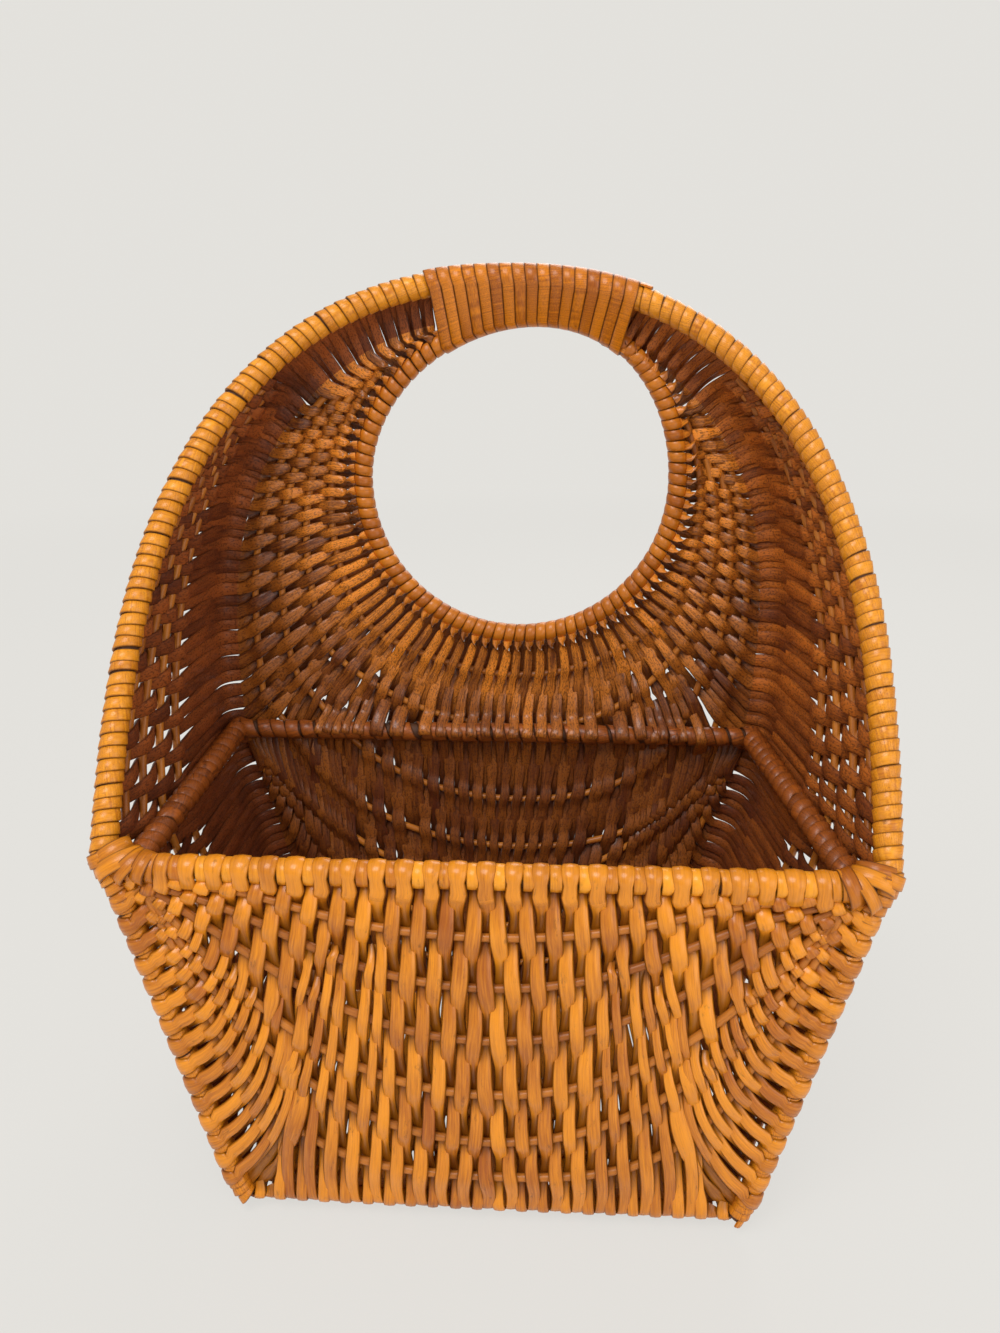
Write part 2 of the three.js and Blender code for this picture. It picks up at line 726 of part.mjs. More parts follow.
// A point on the handle's surface at a share of its length and an angle round it, with the directions
// outward and along the handle
function handlePoint(share, angle) {
  const { hoop, ring } = handleSection(share);
  const along = ring.along.clone().lerp(hoop.along, (1 + Math.cos(angle)) / 2).normalize();
  const up = hoop.axis.clone().sub(ring.axis);
  up.addScaledVector(along, -up.dot(along)).normalize();
  const side = along.clone().cross(up);
  const out = up.clone().multiplyScalar(Math.cos(angle)).addScaledVector(side, Math.sin(angle));
  const overHoop = hoop.axis.addScaledVector(out, hoopDiameter / 2 + handleClearance);
  const overRing = ring.axis.addScaledVector(out, ringDiameter / 2 + handleClearance);
  return { point: overHoop.dot(out) > overRing.dot(out) ? overHoop : overRing, out, along };
}

// The cane's path round the handle, at the middle of its thickness, after a number of turns
function handlePath(turns) {
  const found = handlePoint(turns / handleTurns, 2 * Math.PI * turns);
  found.point.addScaledVector(found.out, caneThickness / 2);
  return found;
}

// The room that the bound handle needs, past both of its ends
function handleRoom() {
  const rings = [];
  for (let i = 0; i <= 12; i++) {
    const ring = [];
    for (let j = 0; j < 16; j++) {
      const { point, out } = handlePoint(mix(-handleEndRoom, 1 + handleEndRoom, i / 12), (Math.PI * j) / 8);
      ring.push(point.addScaledVector(out, caneThickness + 2 * clearance));
    }
    rings.push(ring);
  }
  return skin(rings);
}

// One flat strip wound along a path of turns, as wide as the room between its turns allows
function wind(path, turns, stepsPerTurn) {
  const rings = [];
  for (let i = 0; i <= turns * stepsPerTurn; i++) {
    const now = i / stepsPerTurn;
    const { point, out, along } = path(now);
    const next = path(now + 1).point.sub(point).dot(along);
    const last = point.clone().sub(path(now - 1).point).dot(along);
    const width = Math.min(next, last) - caneGap;
    const ring = [];
    for (const [a, b] of [[-1, -1], [1, -1], [1, 1], [-1, 1]]) {
      const corner = point.clone().addScaledVector(along, (a * width) / 2);
      ring.push(corner.addScaledVector(out, (b * caneThickness) / 2));
    }
    rings.push(ring);
  }
  return rings;
}

// The least gap between one turn of a winding and the next, measured from edge point to edge point
function selfGap(rings, stepsPerTurn) {
  let least = Infinity;
  for (let i = 0; i + stepsPerTurn < rings.length; i++) {
    for (let j = -2; j <= 2; j++) {
      const next = rings[i + stepsPerTurn + j];
      if (!next) continue;
      for (const a of [1, 2]) {
        for (const b of [0, 3]) least = Math.min(least, rings[i][a].distanceTo(next[b]));
      }
    }
  }
  return least;
}

function handleBinding() {
  const rings = wind(handlePath, handleTurns, handleTurnSteps);
  console.log("handle_binding least gap to itself " + selfGap(rings, handleTurnSteps).toFixed(2) + " mm");
  return skin(rings);
}

function cornerBinding(side) {
  const line = bindingLine(side);
  const path = (turns) => {
    const along = vec(side, 0, 0);
    const angle = 2 * Math.PI * turns;
    const out = vec(0, -Math.sin(angle), Math.cos(angle));
    const share = (turns + 0.5) / (cornerTurns + 1);
    const point = line.getPoint(share).addScaledVector(out, (bindingDiameter - caneThickness) / 2);
    return { point, out, along };
  };
  const rings = wind(path, cornerTurns, cornerTurnSteps);
  console.log("corner binding least gap to itself " + selfGap(rings, cornerTurnSteps).toFixed(2) + " mm");
  return skin(rings);
}

// The basket

const basket = new THREE.Group();
const hangHeight = ringHeight + ringRadius - ringDiameter / 2 - handleClearance - caneThickness;
basket.position.z = -hangHeight;

function add(name, geometry, colour, roughness) {
  const material = new THREE.MeshStandardMaterial({ color: colour, roughness, metalness: 0 });
  const mesh = new THREE.Mesh(geometry, material);
  mesh.name = name;
  basket.add(mesh);
}

const wrappedCane = 0xc98432;
const darkCane = 0x8a4c1e;
const bareRib = 0xb9732c;
const wovenCane = 0xc07a2c;
const woodIn = 0x9a5a24;

add("hoop", rod(hoopRod, hoopDiameter, hoopSteps), wrappedCane, 0.4);
add("hand_ring", rod(ringLine, ringDiameter, ringSteps, rodSides, true), wrappedCane, 0.42);
add("front_rim", cope(rod(rimLine, rimDiameter, 12), hoopRoom), wrappedCane, 0.4);
add("back_bar", cope(rod(barLine, backBarDiameter, 8), sideRodRoom(-1), sideRodRoom(1)), darkCane, 0.5);
for (const [word, side] of [["left", -1], ["right", 1]]) {
  const sideRod = rod(sideRodLine(side), sideRodDiameter, 8);
  add(word + "_side_rod", cope(sideRod, rimRoom, hoopRoom, bindingRoom(side)), darkCane, 0.5);
  const edge = rod(edgeLine(side), edgeDiameter, edgeSteps);
  add(word + "_front_edge", cope(edge, rimRoom, hoopRoom, bindingRoom(side)), wrappedCane, 0.45);
  add(word + "_side_fill", sideFill(side), woodIn, 0.6);
  add(word + "_corner_binding", cornerBinding(side), wrappedCane, 0.4);
}
add("handle_binding", handleBinding(), wrappedCane, 0.35);
add("front_fill", frontFill(), wovenCane, 0.5);
add("back_fill", backFill(), woodIn, 0.6);
add("base_fill", baseFill(), woodIn, 0.6);
frontRibs.forEach((rib, i) => add("front_rib_" + (i + 1), frontRib(rib), bareRib, 0.5));
holeRibs.forEach((rib, i) => add("hole_rib_" + (i + 1), holeRib(rib), bareRib, 0.5));
lowerBackRibs.forEach((rib, i) => add("lower_back_rib_" + (i + 1), lowerBackRib(rib), bareRib, 0.5));
cradleRibs.forEach((rib, i) => add("cradle_rib_" + (i + 1), cradleRib(rib), bareRib, 0.5));

export default basket;
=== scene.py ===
import math

import bpy
import numpy as np
from mathutils import Matrix, Vector


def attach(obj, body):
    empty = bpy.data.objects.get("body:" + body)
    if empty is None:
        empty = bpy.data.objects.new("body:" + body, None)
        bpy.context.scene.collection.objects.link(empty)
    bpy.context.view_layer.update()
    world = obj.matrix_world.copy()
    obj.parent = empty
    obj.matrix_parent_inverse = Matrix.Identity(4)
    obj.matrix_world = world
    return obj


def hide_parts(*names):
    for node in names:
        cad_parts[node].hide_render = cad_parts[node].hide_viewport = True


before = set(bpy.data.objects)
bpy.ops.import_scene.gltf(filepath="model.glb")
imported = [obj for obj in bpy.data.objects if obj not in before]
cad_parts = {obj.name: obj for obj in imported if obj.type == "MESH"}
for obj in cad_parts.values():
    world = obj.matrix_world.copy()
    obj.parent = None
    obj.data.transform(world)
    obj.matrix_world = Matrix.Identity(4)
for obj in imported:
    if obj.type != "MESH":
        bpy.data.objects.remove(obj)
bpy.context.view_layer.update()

bl_info = {
    "name": "Woven Wall Basket",
    "version": (1, 0, 0),
    "blender": (4, 5, 0),
    "location": "View3D > Sidebar > Basket",
    "description": "Weaves a cane wall basket round the solids of its packed frame",
    "category": "Object",
}

# Shape of the basket, in millimetres from its base, the same as the solids
MM = 0.001
HANG_HEIGHT = 405.5
HOOP_DIAMETER = 12.0
RING_DIAMETER = 9.6
RIM_DIAMETER = 11.4
SIDE_ROD_DIAMETER = 11.0
BACK_BAR_DIAMETER = 10.6
EDGE_DIAMETER = 9.3
RIB_DIAMETER = 3.9
RIM_HEIGHT = 178.0
RIM_DEPTH = 165.0
RIM_HALF = 165.0
BASE_DEPTH = 171.0
BASE_HALF = 116.5
BACK_BASE_HALF = 110.0
FRONT_BOW = 4.0
CORNER_ROUND = 10.0
BACK_BAR_HEIGHT = 186.0
HOOP_FOOT_HALF = 168.7
HOOP_WAIST_HALF = 171.0
HOOP_WAIST_RISE = 65.0
HOOP_TOP_HEIGHT = 428.4
HOOP_TOP_DEPTH = 13.0
HOOP_ROUNDNESS = 2.3
HOOP_FLARE = 0.1
CREASE_INSET = 13.0
CREASE_ROUND = 12.0
CREASE_START = 0.35
BACK_SHIFT_LOW = -9.0
BACK_SHIFT_HIGH = -2.0
RING_RADIUS = 84.3
RING_HEIGHT = 327.5
RING_SHIFT = 7.0
RING_LEAN = 8.4
RING_DEPTH = 6.5
HANDLE_ON_HOOP = (-37.0, 68.0)
HANDLE_ON_RING = (-33.0, 62.0)
HANDLE_TURNS = 17
HANDLE_CLEARANCE = 0.4
CANE_THICKNESS = 1.1
CORE_INSET = 2.2
CORNER_TURNS = 3
CORNER_CANE_WIDTH = 5.2
CORNER_BINDING_START = 160.0
CANE_GAP = 0.5
CLEARANCE = 0.3
WALL_HALF = 3.6
RIB_OFFSET = 1.65
RIB_LAYER = WALL_HALF + RIB_OFFSET
BAR_DEPTH = 2 * WALL_HALF + CLEARANCE + BACK_BAR_DIAMETER / 2

# Steps between the points of a strip's line, of a line that room is measured to, and of a rib
LINE_STEP = 2.0
FINE_STEP = 0.8
RIB_STEP = 1.5

SIDES = (("left", -1), ("right", 1))
UP = np.array([0.0, 0.0, 1.0])
TOWARDS_HOLE = np.array([0.0, -1.0, 0.0])
TOWARDS_WALL = np.array([0.0, 1.0, 0.0])

# Ribs: middle height, fan angle below the level, start, and the two pulls, all as in the solids
FRONT_FAN = (152.0, 172.0)
FRONT_RIBS = (
    (151, 3, 32, 30, 70),
    (127, 15, 20, 44, 64),
    (101, 35, 20, 50, 60),
    (73, 53, 20, 58, 62),
    (47, 61, 37, 52, 66),
    (27, 68.5, 20, 118, 84),
)
BACK_FAN = (140.0, 170.0)
LOWER_BACK_RIBS = ((85, 47, 12, 50, 62), (56, 59, 26, 56, 66), (30, 69, 12, 108, 84))
HOLE_RIB_TURN = math.atan2(HOOP_FOOT_HALF, RING_HEIGHT - BACK_BAR_HEIGHT)
FAN_START = 7.0
HOLE_RIBS = ((0.24, 109, 13), (0.46, 141, 23), (0.67, 186, 13), (0.87, 217, 23))
CRADLE_RIBS = ((0.5, 28), (0.66, 42), (0.82, 28), (0.97, 42))

# Camera of the photograph: millimetres from the hanging point, degrees, and the lens
CAMERA_PLACE = (29.4, -547.0, -15.4)
CAMERA_YAW = -3.5
CAMERA_PITCH = 17.1
CAMERA_ROLL = -0.2
CAMERA_LENS = 27.0
CAMERA_SENSOR = 36.0


# Lines

def mix(a, b, share):
    return a + (b - a) * share


def smoothstep(value, low, high):
    t = np.clip((value - low) / (high - low), 0, 1)
    return t * t * (3 - 2 * t)


def unit(vectors):
    vectors = np.asarray(vectors, float)
    return vectors / np.maximum(np.linalg.norm(vectors, axis=-1, keepdims=True), 1e-9)


def distances(points):
    """How far along a line each of its points lies."""
    steps = np.linalg.norm(np.diff(points, axis=0), axis=1)
    return np.concatenate([[0.0], np.cumsum(steps)])


def even(points, step=None, count=None):
    """The same line with its points evenly spaced."""
    points = np.asarray(points, float)
    run = distances(points)
    count = count or max(int(round(run[-1] / step)) + 1, 4)
    at = np.linspace(0, run[-1], count)
    return np.stack([np.interp(at, run, points[:, i]) for i in range(points.shape[1])], axis=1)


def along(points, share):
    """The point at a share of a line's length, and the line's direction there."""
    run = distances(points)
    at = np.clip(share, 0, 1) * run[-1]
    place = np.array([np.interp(at, run, points[:, i]) for i in range(points.shape[1])])
    i = int(np.clip(np.searchsorted(run, at), 1, len(points) - 1))
    return place, unit(points[i] - points[i - 1])


def smooth_line(points, per_span=10):
    """A smooth curve through points, with as many steps between each two of them."""
    points = np.asarray(points, float)
    outer = np.vstack([2 * points[0] - points[1], points, 2 * points[-1] - points[-2]])
    spans = []
    share = np.linspace(0, 1, per_span, endpoint=False)[:, None]
    for i in range(len(points) - 1):
        p0, p1, p2, p3 = outer[i:i + 4]
        d0, d1, d2 = (max(np.linalg.norm(b - a) ** 0.5, 1e-4) for a, b in ((p0, p1), (p1, p2), (p2, p3)))
        t1 = ((p1 - p0) / d0 - (p2 - p0) / (d0 + d1) + (p2 - p1) / d1) * d1
        t2 = ((p2 - p1) / d1 - (p3 - p1) / (d1 + d2) + (p3 - p2) / d2) * d1
        square = -3 * p1 + 3 * p2 - 2 * t1 - t2
        cube = 2 * p1 - 2 * p2 + t1 + t2
        spans.append(p1 + t1 * share + square * share ** 2 + cube * share ** 3)
    return np.vstack(spans + [points[-1:]])


def bezier(a, b, c, d, count=24):
    """Points on a curve from a to d, which b and c pull towards them."""
    t = np.linspace(0, 1, count)[:, None]
    a, b, c, d = (np.asarray(p, float) for p in (a, b, c, d))
    return a * (1 - t) ** 3 + 3 * b * t * (1 - t) ** 2 + 3 * c * t ** 2 * (1 - t) + d * t ** 3


def rounded(start, corner, end, t):
    """Points at shares of the way round a corner."""
    return start * (1 - t) ** 2 + 2 * corner * t * (1 - t) + end * t ** 2


def circling(turns, first, second):
    """Directions at angles from one direction towards another."""
    return first * np.cos(turns)[:, None] + second * np.sin(turns)[:, None]


def gaps(points, others):
    """How far each point lies from each of the others."""
    return np.linalg.norm(points[:, None] - others[None], axis=2)


# Shape of the basket

def pocket_side(base_half, rim_half, floor):
    """One side of the pocket from the front: base, rounded corner and sloping edge."""
    corner = np.array([base_half, floor])
    rim = np.array([rim_half, RIM_HEIGHT])
    up = unit(rim - corner)
    start, end = corner - [CORNER_ROUND, 0], corner + up * CORNER_ROUND
    return np.vstack([rounded(start, corner, end, np.linspace(0, 1, 16)[:, None]), rim])


FRONT_SIDE = pocket_side(BASE_HALF, RIM_HALF, WALL_HALF)
BACK_SIDE = pocket_side(BACK_BASE_HALF, HOOP_FOOT_HALF - CREASE_INSET, WALL_HALF)


def front_depth(height, across):
    """How far the front stands out at a height and at a share of its half-breadth."""
    rise = np.clip(height / RIM_HEIGHT, 0, 1)
    return mix(BASE_DEPTH, RIM_DEPTH, rise) + FRONT_BOW * (1 - across ** 2) * np.sin(np.pi * rise)


HOOP_SLOPE = math.hypot(HOOP_TOP_HEIGHT - RIM_HEIGHT, RIM_DEPTH - HOOP_TOP_DEPTH)


def on_hoop_plane(x, rise):
    """A point of the hoop's leaning plane, by its distance up the slope from the rim."""
    share = rise / HOOP_SLOPE
    return np.array([x, -mix(RIM_DEPTH, HOOP_TOP_DEPTH, share), mix(RIM_HEIGHT, HOOP_TOP_HEIGHT, share)])


def hoop_half(side, leg_steps=4, top_steps=12):
    """Points up one leg of the hoop and round to the middle of its top."""
    points = []
    for i in range(leg_steps):
        x = side * mix(HOOP_FOOT_HALF, HOOP_WAIST_HALF, math.sin(math.pi / 2 * i / leg_steps))
        points.append(on_hoop_plane(x, HOOP_WAIST_RISE * i / leg_steps))
    for i in range(top_steps + 1):
        turn = math.pi / 2 * i / top_steps
        x = side * HOOP_WAIST_HALF * max(math.cos(turn), 0) ** (2 / HOOP_ROUNDNESS)
        rise = (HOOP_SLOPE - HOOP_WAIST_RISE) * math.sin(turn) ** (2 / HOOP_ROUNDNESS)
        points.append(on_hoop_plane(x, HOOP_WAIST_RISE + rise))
    return points


HOOP_POINTS = hoop_half(-1) + hoop_half(1)[::-1][1:]
HOOP_LINE = smooth_line(HOOP_POINTS)


def ring_point(angle):
    """The ring's axis at an angle up from straight down, positive to the right."""
    rise = -math.cos(angle)
    lean = RING_LEAN * rise * rise if rise > 0 else 0
    x = RING_SHIFT + lean + RING_RADIUS * math.sin(angle)
    return np.array([x, -RING_DEPTH, RING_HEIGHT + RING_RADIUS * rise])


# A climb is a place up a side wall: 0 at the base, 1 at the rim and 2 at the hoop's top
LOWEST_CLIMB = 0.004
HIGHEST_CLIMB = 1.94


def pocket_station(side, climb):
    """Front, crease and outward direction of a side wall below the rim."""
    front, _ = along(FRONT_SIDE, climb)
    back, slope = along(BACK_SIDE, climb)
    return (
        np.array([side * front[0], -front_depth(front[1], 1), front[1]]),
        np.array([side * back[0] + BACK_SHIFT_LOW, -WALL_HALF, back[1]]),
        np.array([side * slope[1], 0, -slope[0]]),
    )


def hoop_station(side, climb):
    """Front, crease and outward direction of a side wall between the rim and the handle."""
    at = climb / 2 if side < 0 else 1 - climb / 2
    front, slope = along(HOOP_LINE, at)
    slope = slope * -side
    out = unit(np.array([side * slope[2], 0, -side * slope[0]]))
    height = (front[2] - RIM_HEIGHT) / (HOOP_TOP_HEIGHT - RIM_HEIGHT)
    crease = front - out * CREASE_INSET
    crease[0] += mix(BACK_SHIFT_LOW, BACK_SHIFT_HIGH, height)
    crease[1] = -WALL_HALF
    front[0] -= side * (HOOP_FOOT_HALF - RIM_HALF) * max(0, 1 - climb / HOOP_FLARE)
    return front, crease, out


def wall_station(side, climb):
    """Front, crease and outward direction of a side wall, and the size of its crease."""
    front, crease, out = pocket_station(side, climb) if climb <= 1 else hoop_station(side, climb - 1)
    half_wall = np.linalg.norm(front - crease) / 2
    return front, crease, out, min(CREASE_ROUND, half_wall) * smoothstep(climb, 0, CREASE_START)


class SideWall:
    """The surface in the middle of a side wall's ribs, from the base to the handle.

    A place on it is a climb and a crossing, which is -1 at the back, 0 past the crease and 1 at the front.
    """

    def __init__(self, side):
        self.side = side
        pocket, hoop = np.linspace(LOWEST_CLIMB, 1, 70), np.linspace(1.006, HIGHEST_CLIMB, 110)
        self.climbs = np.concatenate([pocket, hoop])
        self.across = np.concatenate([np.linspace(-1, 0, 9), np.linspace(0, 1, 15)[1:]])
        rows = []
        for climb in self.climbs:
            front, crease, out, reach = wall_station(side, climb)
            start, end = crease - out * reach, crease + unit(front - crease) * reach
            fold_line = rounded(start, crease, end, np.clip(self.across + 1, 0, 1)[:, None])
            flat = end + (front - end) * np.clip(self.across, 0, 1)[:, None]
            rows.append(np.where(self.across[:, None] > 0, flat, fold_line))
        middle = np.array(rows)
        self.creases = middle[:, 0]
        self.normals = unit(np.cross(np.gradient(middle, axis=0), np.gradient(middle, axis=1)) * side)
        self.points = middle - self.normals * RIB_OFFSET

    def at(self, climb, across):
        """Points and outward normals at climbs and crossings, both as arrays."""
        climb, across = np.broadcast_arrays(np.asarray(climb, float), np.asarray(across, float))
        i = np.clip(np.searchsorted(self.climbs, climb) - 1, 0, len(self.climbs) - 2)
        j = np.clip(np.searchsorted(self.across, across) - 1, 0, len(self.across) - 2)
        u = ((climb - self.climbs[i]) / (self.climbs[i + 1] - self.climbs[i]))[..., None]
        v = ((across - self.across[j]) / (self.across[j + 1] - self.across[j]))[..., None]
        u, v = np.clip(u, 0, 1), np.clip(v, 0, 1)

        def blend(grid):
            low = grid[i, j] * (1 - v) + grid[i, j + 1] * v
            high = grid[i + 1, j] * (1 - v) + grid[i + 1, j + 1] * v
            return low * (1 - u) + high * u
        return blend(self.points), unit(blend(self.normals))

    def climb_at(self, angle):
        """Where the crease is seen at an angle up from straight down, from the ring's middle."""
        x = self.side * (self.creases[:, 0] - RING_SHIFT)
        turns = np.arctan2(x, RING_HEIGHT - self.creases[:, 2])
        return float(np.interp(angle, turns, self.climbs))

    def width(self, climb):
        """How broad the wall is in front of its crease."""
        front, crease, _, reach = wall_station(self.side, climb)
        return np.linalg.norm(front - crease) - reach


WALLS = {side: SideWall(side) for side in (-1, 1)}


# Ribs

def fan_line(corner, shift, rib):
    """An arc in x and height that hangs from two corners, by the numbers of its rib."""
    middle, angle, start, corner_pull, middle_pull = rib
    out = np.array([-math.cos(math.radians(angle)), -math.sin(math.radians(angle))])
    first = np.array(corner) + out * start
    half = bezier(first, first + out * corner_pull, (middle_pull, middle), (0, middle), 10)
    half = np.vstack([np.array(corner) + out * FAN_START, half])
    left = half * [-1, 1] + [shift, 0]
    right = half * [1, 1] + [shift, 0]
    return np.vstack([left, right[::-1][1:]])


def front_surface(flat):
    """Puts points given in x and height on the middle of the front's ribs."""
    half = mix(BASE_HALF, RIM_HALF, flat[:, 1] / RIM_HEIGHT)
    depth = front_depth(flat[:, 1], np.clip(flat[:, 0] / half, -1, 1)) + RIB_OFFSET
    return np.stack([flat[:, 0], -depth, flat[:, 1]], axis=1)


def back_surface(flat):
    """Puts points given in x and height on the middle of the back's ribs."""
    return np.stack([flat[:, 0], np.full(len(flat), -RIB_LAYER), flat[:, 1]], axis=1)


def crease_distance(angle):
    """How far the crease lies from the ring's middle at an angle up from straight down."""
    wall = WALLS[-1 if angle < 0 else 1]
    climb = wall.climb_at(abs(angle))
    point, _ = wall.at(climb, -1.0)
    return math.hypot(point[0] - RING_SHIFT, point[2] - RING_HEIGHT)


def hole_rib(rib, highest=2.8, step=0.01):
    """An arc under the hand hole, up to where the wall beside it gets too narrow."""
    share, below, least_room = rib
    ring_edge = RING_RADIUS + RING_DIAMETER / 2

    def reach(side):
        angle = math.pi / 2
        while crease_distance(side * angle) - ring_edge > least_room and angle < highest:
            angle += step
        return side * angle

    points = []
    for angle in np.linspace(reach(-1), reach(1), 49):
        side = -1 if angle < 0 else 1
        beside = crease_distance(side * max(abs(angle), HOLE_RIB_TURN))
        swing = smoothstep(math.cos(angle), math.cos(HOLE_RIB_TURN), 1)
        distance = mix(mix(ring_edge, beside, share), below, swing)
        points.append((RING_SHIFT + distance * math.sin(angle), RING_HEIGHT - distance * math.cos(angle)))
    return back_surface(np.array(points))


def cradle_rib(rib, step=0.005):
    """A rib down one side wall, under the pocket and up the other."""
    share, least_room = rib
    beside = (HOOP_DIAMETER + RIB_DIAMETER) / 2 + CLEARANCE

    def half(side):
        top = 1.0
        while WALLS[side].width(top) > least_room:
            top += step
        climbs = np.concatenate([np.linspace(top, 1, 13), [0.75, 0.5, 0.25, 0.1, 0.05, LOWEST_CLIMB]])
        across = np.array([share * (1 - beside / WALLS[side].width(c)) for c in climbs])
        return WALLS[side].at(climbs, across)[0]

    left, right = half(-1), half(1)[::-1]
    under = np.array([mix(left[-1], right[0], part) for part in (0.04, 0.5, 0.96)])
    return smooth_line(np.vstack([left, under, right]), per_span=6)


RIB_CURVES = {
    "front": [smooth_line(front_surface(fan_line(FRONT_FAN, 0, rib))) for rib in FRONT_RIBS],
    "lower_back": [smooth_line(back_surface(fan_line(BACK_FAN, BACK_SHIFT_LOW, rib)))
                   for rib in LOWER_BACK_RIBS],
    "hole": [smooth_line(hole_rib(rib), per_span=4) for rib in HOLE_RIBS],
    "cradle": [cradle_rib(rib) for rib in CRADLE_RIBS],
}
RIB_LINES = {family: [even(line, RIB_STEP) for line in lines] for family, lines in RIB_CURVES.items()}


# Rods, each by the line of its middle from end to end

def rim_line():
    return np.array([(-HOOP_FOOT_HALF, -RIM_DEPTH, RIM_HEIGHT), (HOOP_FOOT_HALF, -RIM_DEPTH, RIM_HEIGHT)])


def edge_line(side):
    outline = even(pocket_side(BASE_HALF, RIM_HALF, EDGE_DIAMETER / 2), count=60)
    outline = outline[outline[:, 1] < RIM_HEIGHT - RIM_DIAMETER / 2]
    return np.stack([side * outline[:, 0], -front_depth(outline[:, 1], 1), outline[:, 1]], axis=1)


def side_rod_line(side):
    inward = WALL_HALF + CLEARANCE + SIDE_ROD_DIAMETER / 2
    front, crease, _, _ = wall_station(side, 1)
    share = (-(2 * WALL_HALF + CLEARANCE) - crease[1]) / (front[1] - crease[1])
    rear = mix(crease, front, share) + [-side * inward, 0, BACK_BAR_HEIGHT - RIM_HEIGHT]
    return np.array([rear, front + [-side * inward, 0, 0]])


def bar_line():
    ends = [(side_rod_line(side)[0][0], -BAR_DEPTH, BACK_BAR_HEIGHT) for side in (-1, 1)]
    return np.array(ends, float)


# Strands: the middle line of each strip of cane, with what its surface needs

RANDOM = np.random.RandomState(7)

# What the node trees read from each point of a strand
READ_BY_TREES = ("facing", "breadth", "shade", "run", "deep")


def strand(points, facing, breadth, shade=None, closed=False, deep=0.0):
    """One strip of cane: its line, its outer side's direction, and its breadth as a share."""
    points = np.asarray(points, float)
    facing = unit(np.broadcast_to(facing, points.shape))
    if closed:
        heading = unit(np.roll(points, -1, axis=0) - np.roll(points, 1, axis=0))
    else:
        heading = unit(np.gradient(points, axis=0))
    facing = unit(facing - heading * np.sum(facing * heading, axis=1, keepdims=True))
    return {
        "points": points,
        "facing": facing,
        "breadth": np.broadcast_to(breadth, len(points)).astype(float),
        "shade": np.full(len(points), RANDOM.uniform() if shade is None else shade),
        "run": distances(points),
        "deep": np.broadcast_to(deep, len(points)).astype(float),
        "closed": closed,
    }


def cut(whole, first, last):
    """A stretch of a strand, which keeps its own measure along the cane."""
    return {key: whole[key][first:last] for key in ("points", *READ_BY_TREES)}


def crossings(path, ribs, reach=2.6):
    """How far along a path each rib is crossed, with the rib's number."""
    run = distances(path)
    found = []
    for number, rib in enumerate(ribs):
        apart = gaps(path, rib).min(axis=1)
        i = int(apart.argmin())
        if apart[i] < reach:
            found.append((run[i], number))
    return sorted(found)


# How a strip swings from rib to rib: how steeply it passes the wall's middle, the lift at which it is
# broadest, how low it counts as level, and how broad a level stretch is
SWING_SHARPNESS = 0.72
BROADEST_LIFT = 3.2
LEVEL_LIFT = 1.2
LEVEL_BREADTH = 1.2


def woven(path, normals, stations, lean, thin, full, shade=None, spread=1.0, seen=1):
    """A strand that rises and dips through a list of (distance, height off the wall's middle)."""
    run = distances(path)
    at, height = np.array(stations, float).T
    i = np.clip(np.searchsorted(at, run) - 1, 0, len(at) - 2)
    share = np.clip((run - at[i]) / np.maximum(at[i + 1] - at[i], 1e-6), 0, 1)
    lift = mix(height[i], height[i + 1], (1 - np.cos(np.pi * share ** SWING_SHARPNESS)) / 2)
    slip = lean * np.sin(np.pi * share) * np.sign(height[i] - height[i + 1])
    sideways = np.cross(unit(np.gradient(path, axis=0)), normals)
    points = path + normals * lift[:, None] + sideways * slip[:, None]
    reach = np.clip(lift / min(max(abs(height).max(), 1e-6), BROADEST_LIFT), -1, 1)
    level = (np.abs(height[i]) < LEVEL_LIFT) & (np.abs(height[i + 1]) < LEVEL_LIFT)
    breadth = mix(thin, full, (seen * reach + 1) / 2)
    breadth = mix(breadth, LEVEL_BREADTH * full, level * np.sin(np.pi * share)) * spread
    # deep is how far the strip has dipped behind its neighbours; the material darkens it there as painted
    # shade.
    return strand(points, normals, breadth, shade, deep=smoothstep(-reach * seen, -0.2, 1.0))


def room_beside(lines, reach=3):
    """How far the nearest lines on both sides of each line are, point by point."""
    fine = [even(line, FINE_STEP) for line in lines]
    rooms = []
    for i, line in enumerate(lines):
        sides = []
        for step in (-1, 1):
            near = [fine[i + step * n] for n in range(1, reach + 1) if 0 <= i + step * n < len(lines)]
            if near:
                sides.append(gaps(line, np.vstack(near)).min(axis=1))
        rooms.append(np.mean(sides, axis=0))
    return rooms


def room_to(line, beside):
    """How far another line is from each point of a line."""
    return gaps(line, even(beside, FINE_STEP)).min(axis=1)


def room_from(room, needed, otherwise):
    """The number of the first point with enough room beside it, or another where there is none."""
    wide = np.nonzero(room > needed)[0]
    return wide[0] if len(wide) else otherwise


def nearest(points, line, values):
    """The values of a line's points that lie nearest to other points."""
    return values[gaps(points, line).argmin(axis=1)]


# Front and base

FRONT_PITCH = 5.9
FRONT_LIFT = 3.0
FRONT_OUTLINE_HALF = 298.5
FRONT_LOW_PITCH = FRONT_OUTLINE_HALF / 57
FRONT_FLOW = ((0, 45, 60, 75, 90, 105, 120, 165), (0, 40, 62, 96, 140, 182, 222, FRONT_OUTLINE_HALF))
EDGE_SPREAD = 2.75

# Room between two lines of the front that a pair of extra ones needs, and a second pair outside it
FRONT_PAIR_ROOM = 7.2
FRONT_OUTER_ROOM = 12.0

# Heights off the ribs' middle at which a strip is hidden
BEHIND_RIM = -5.0
BEHIND_EDGE = -4.2
BEHIND_NEIGHBOURS = -3.4

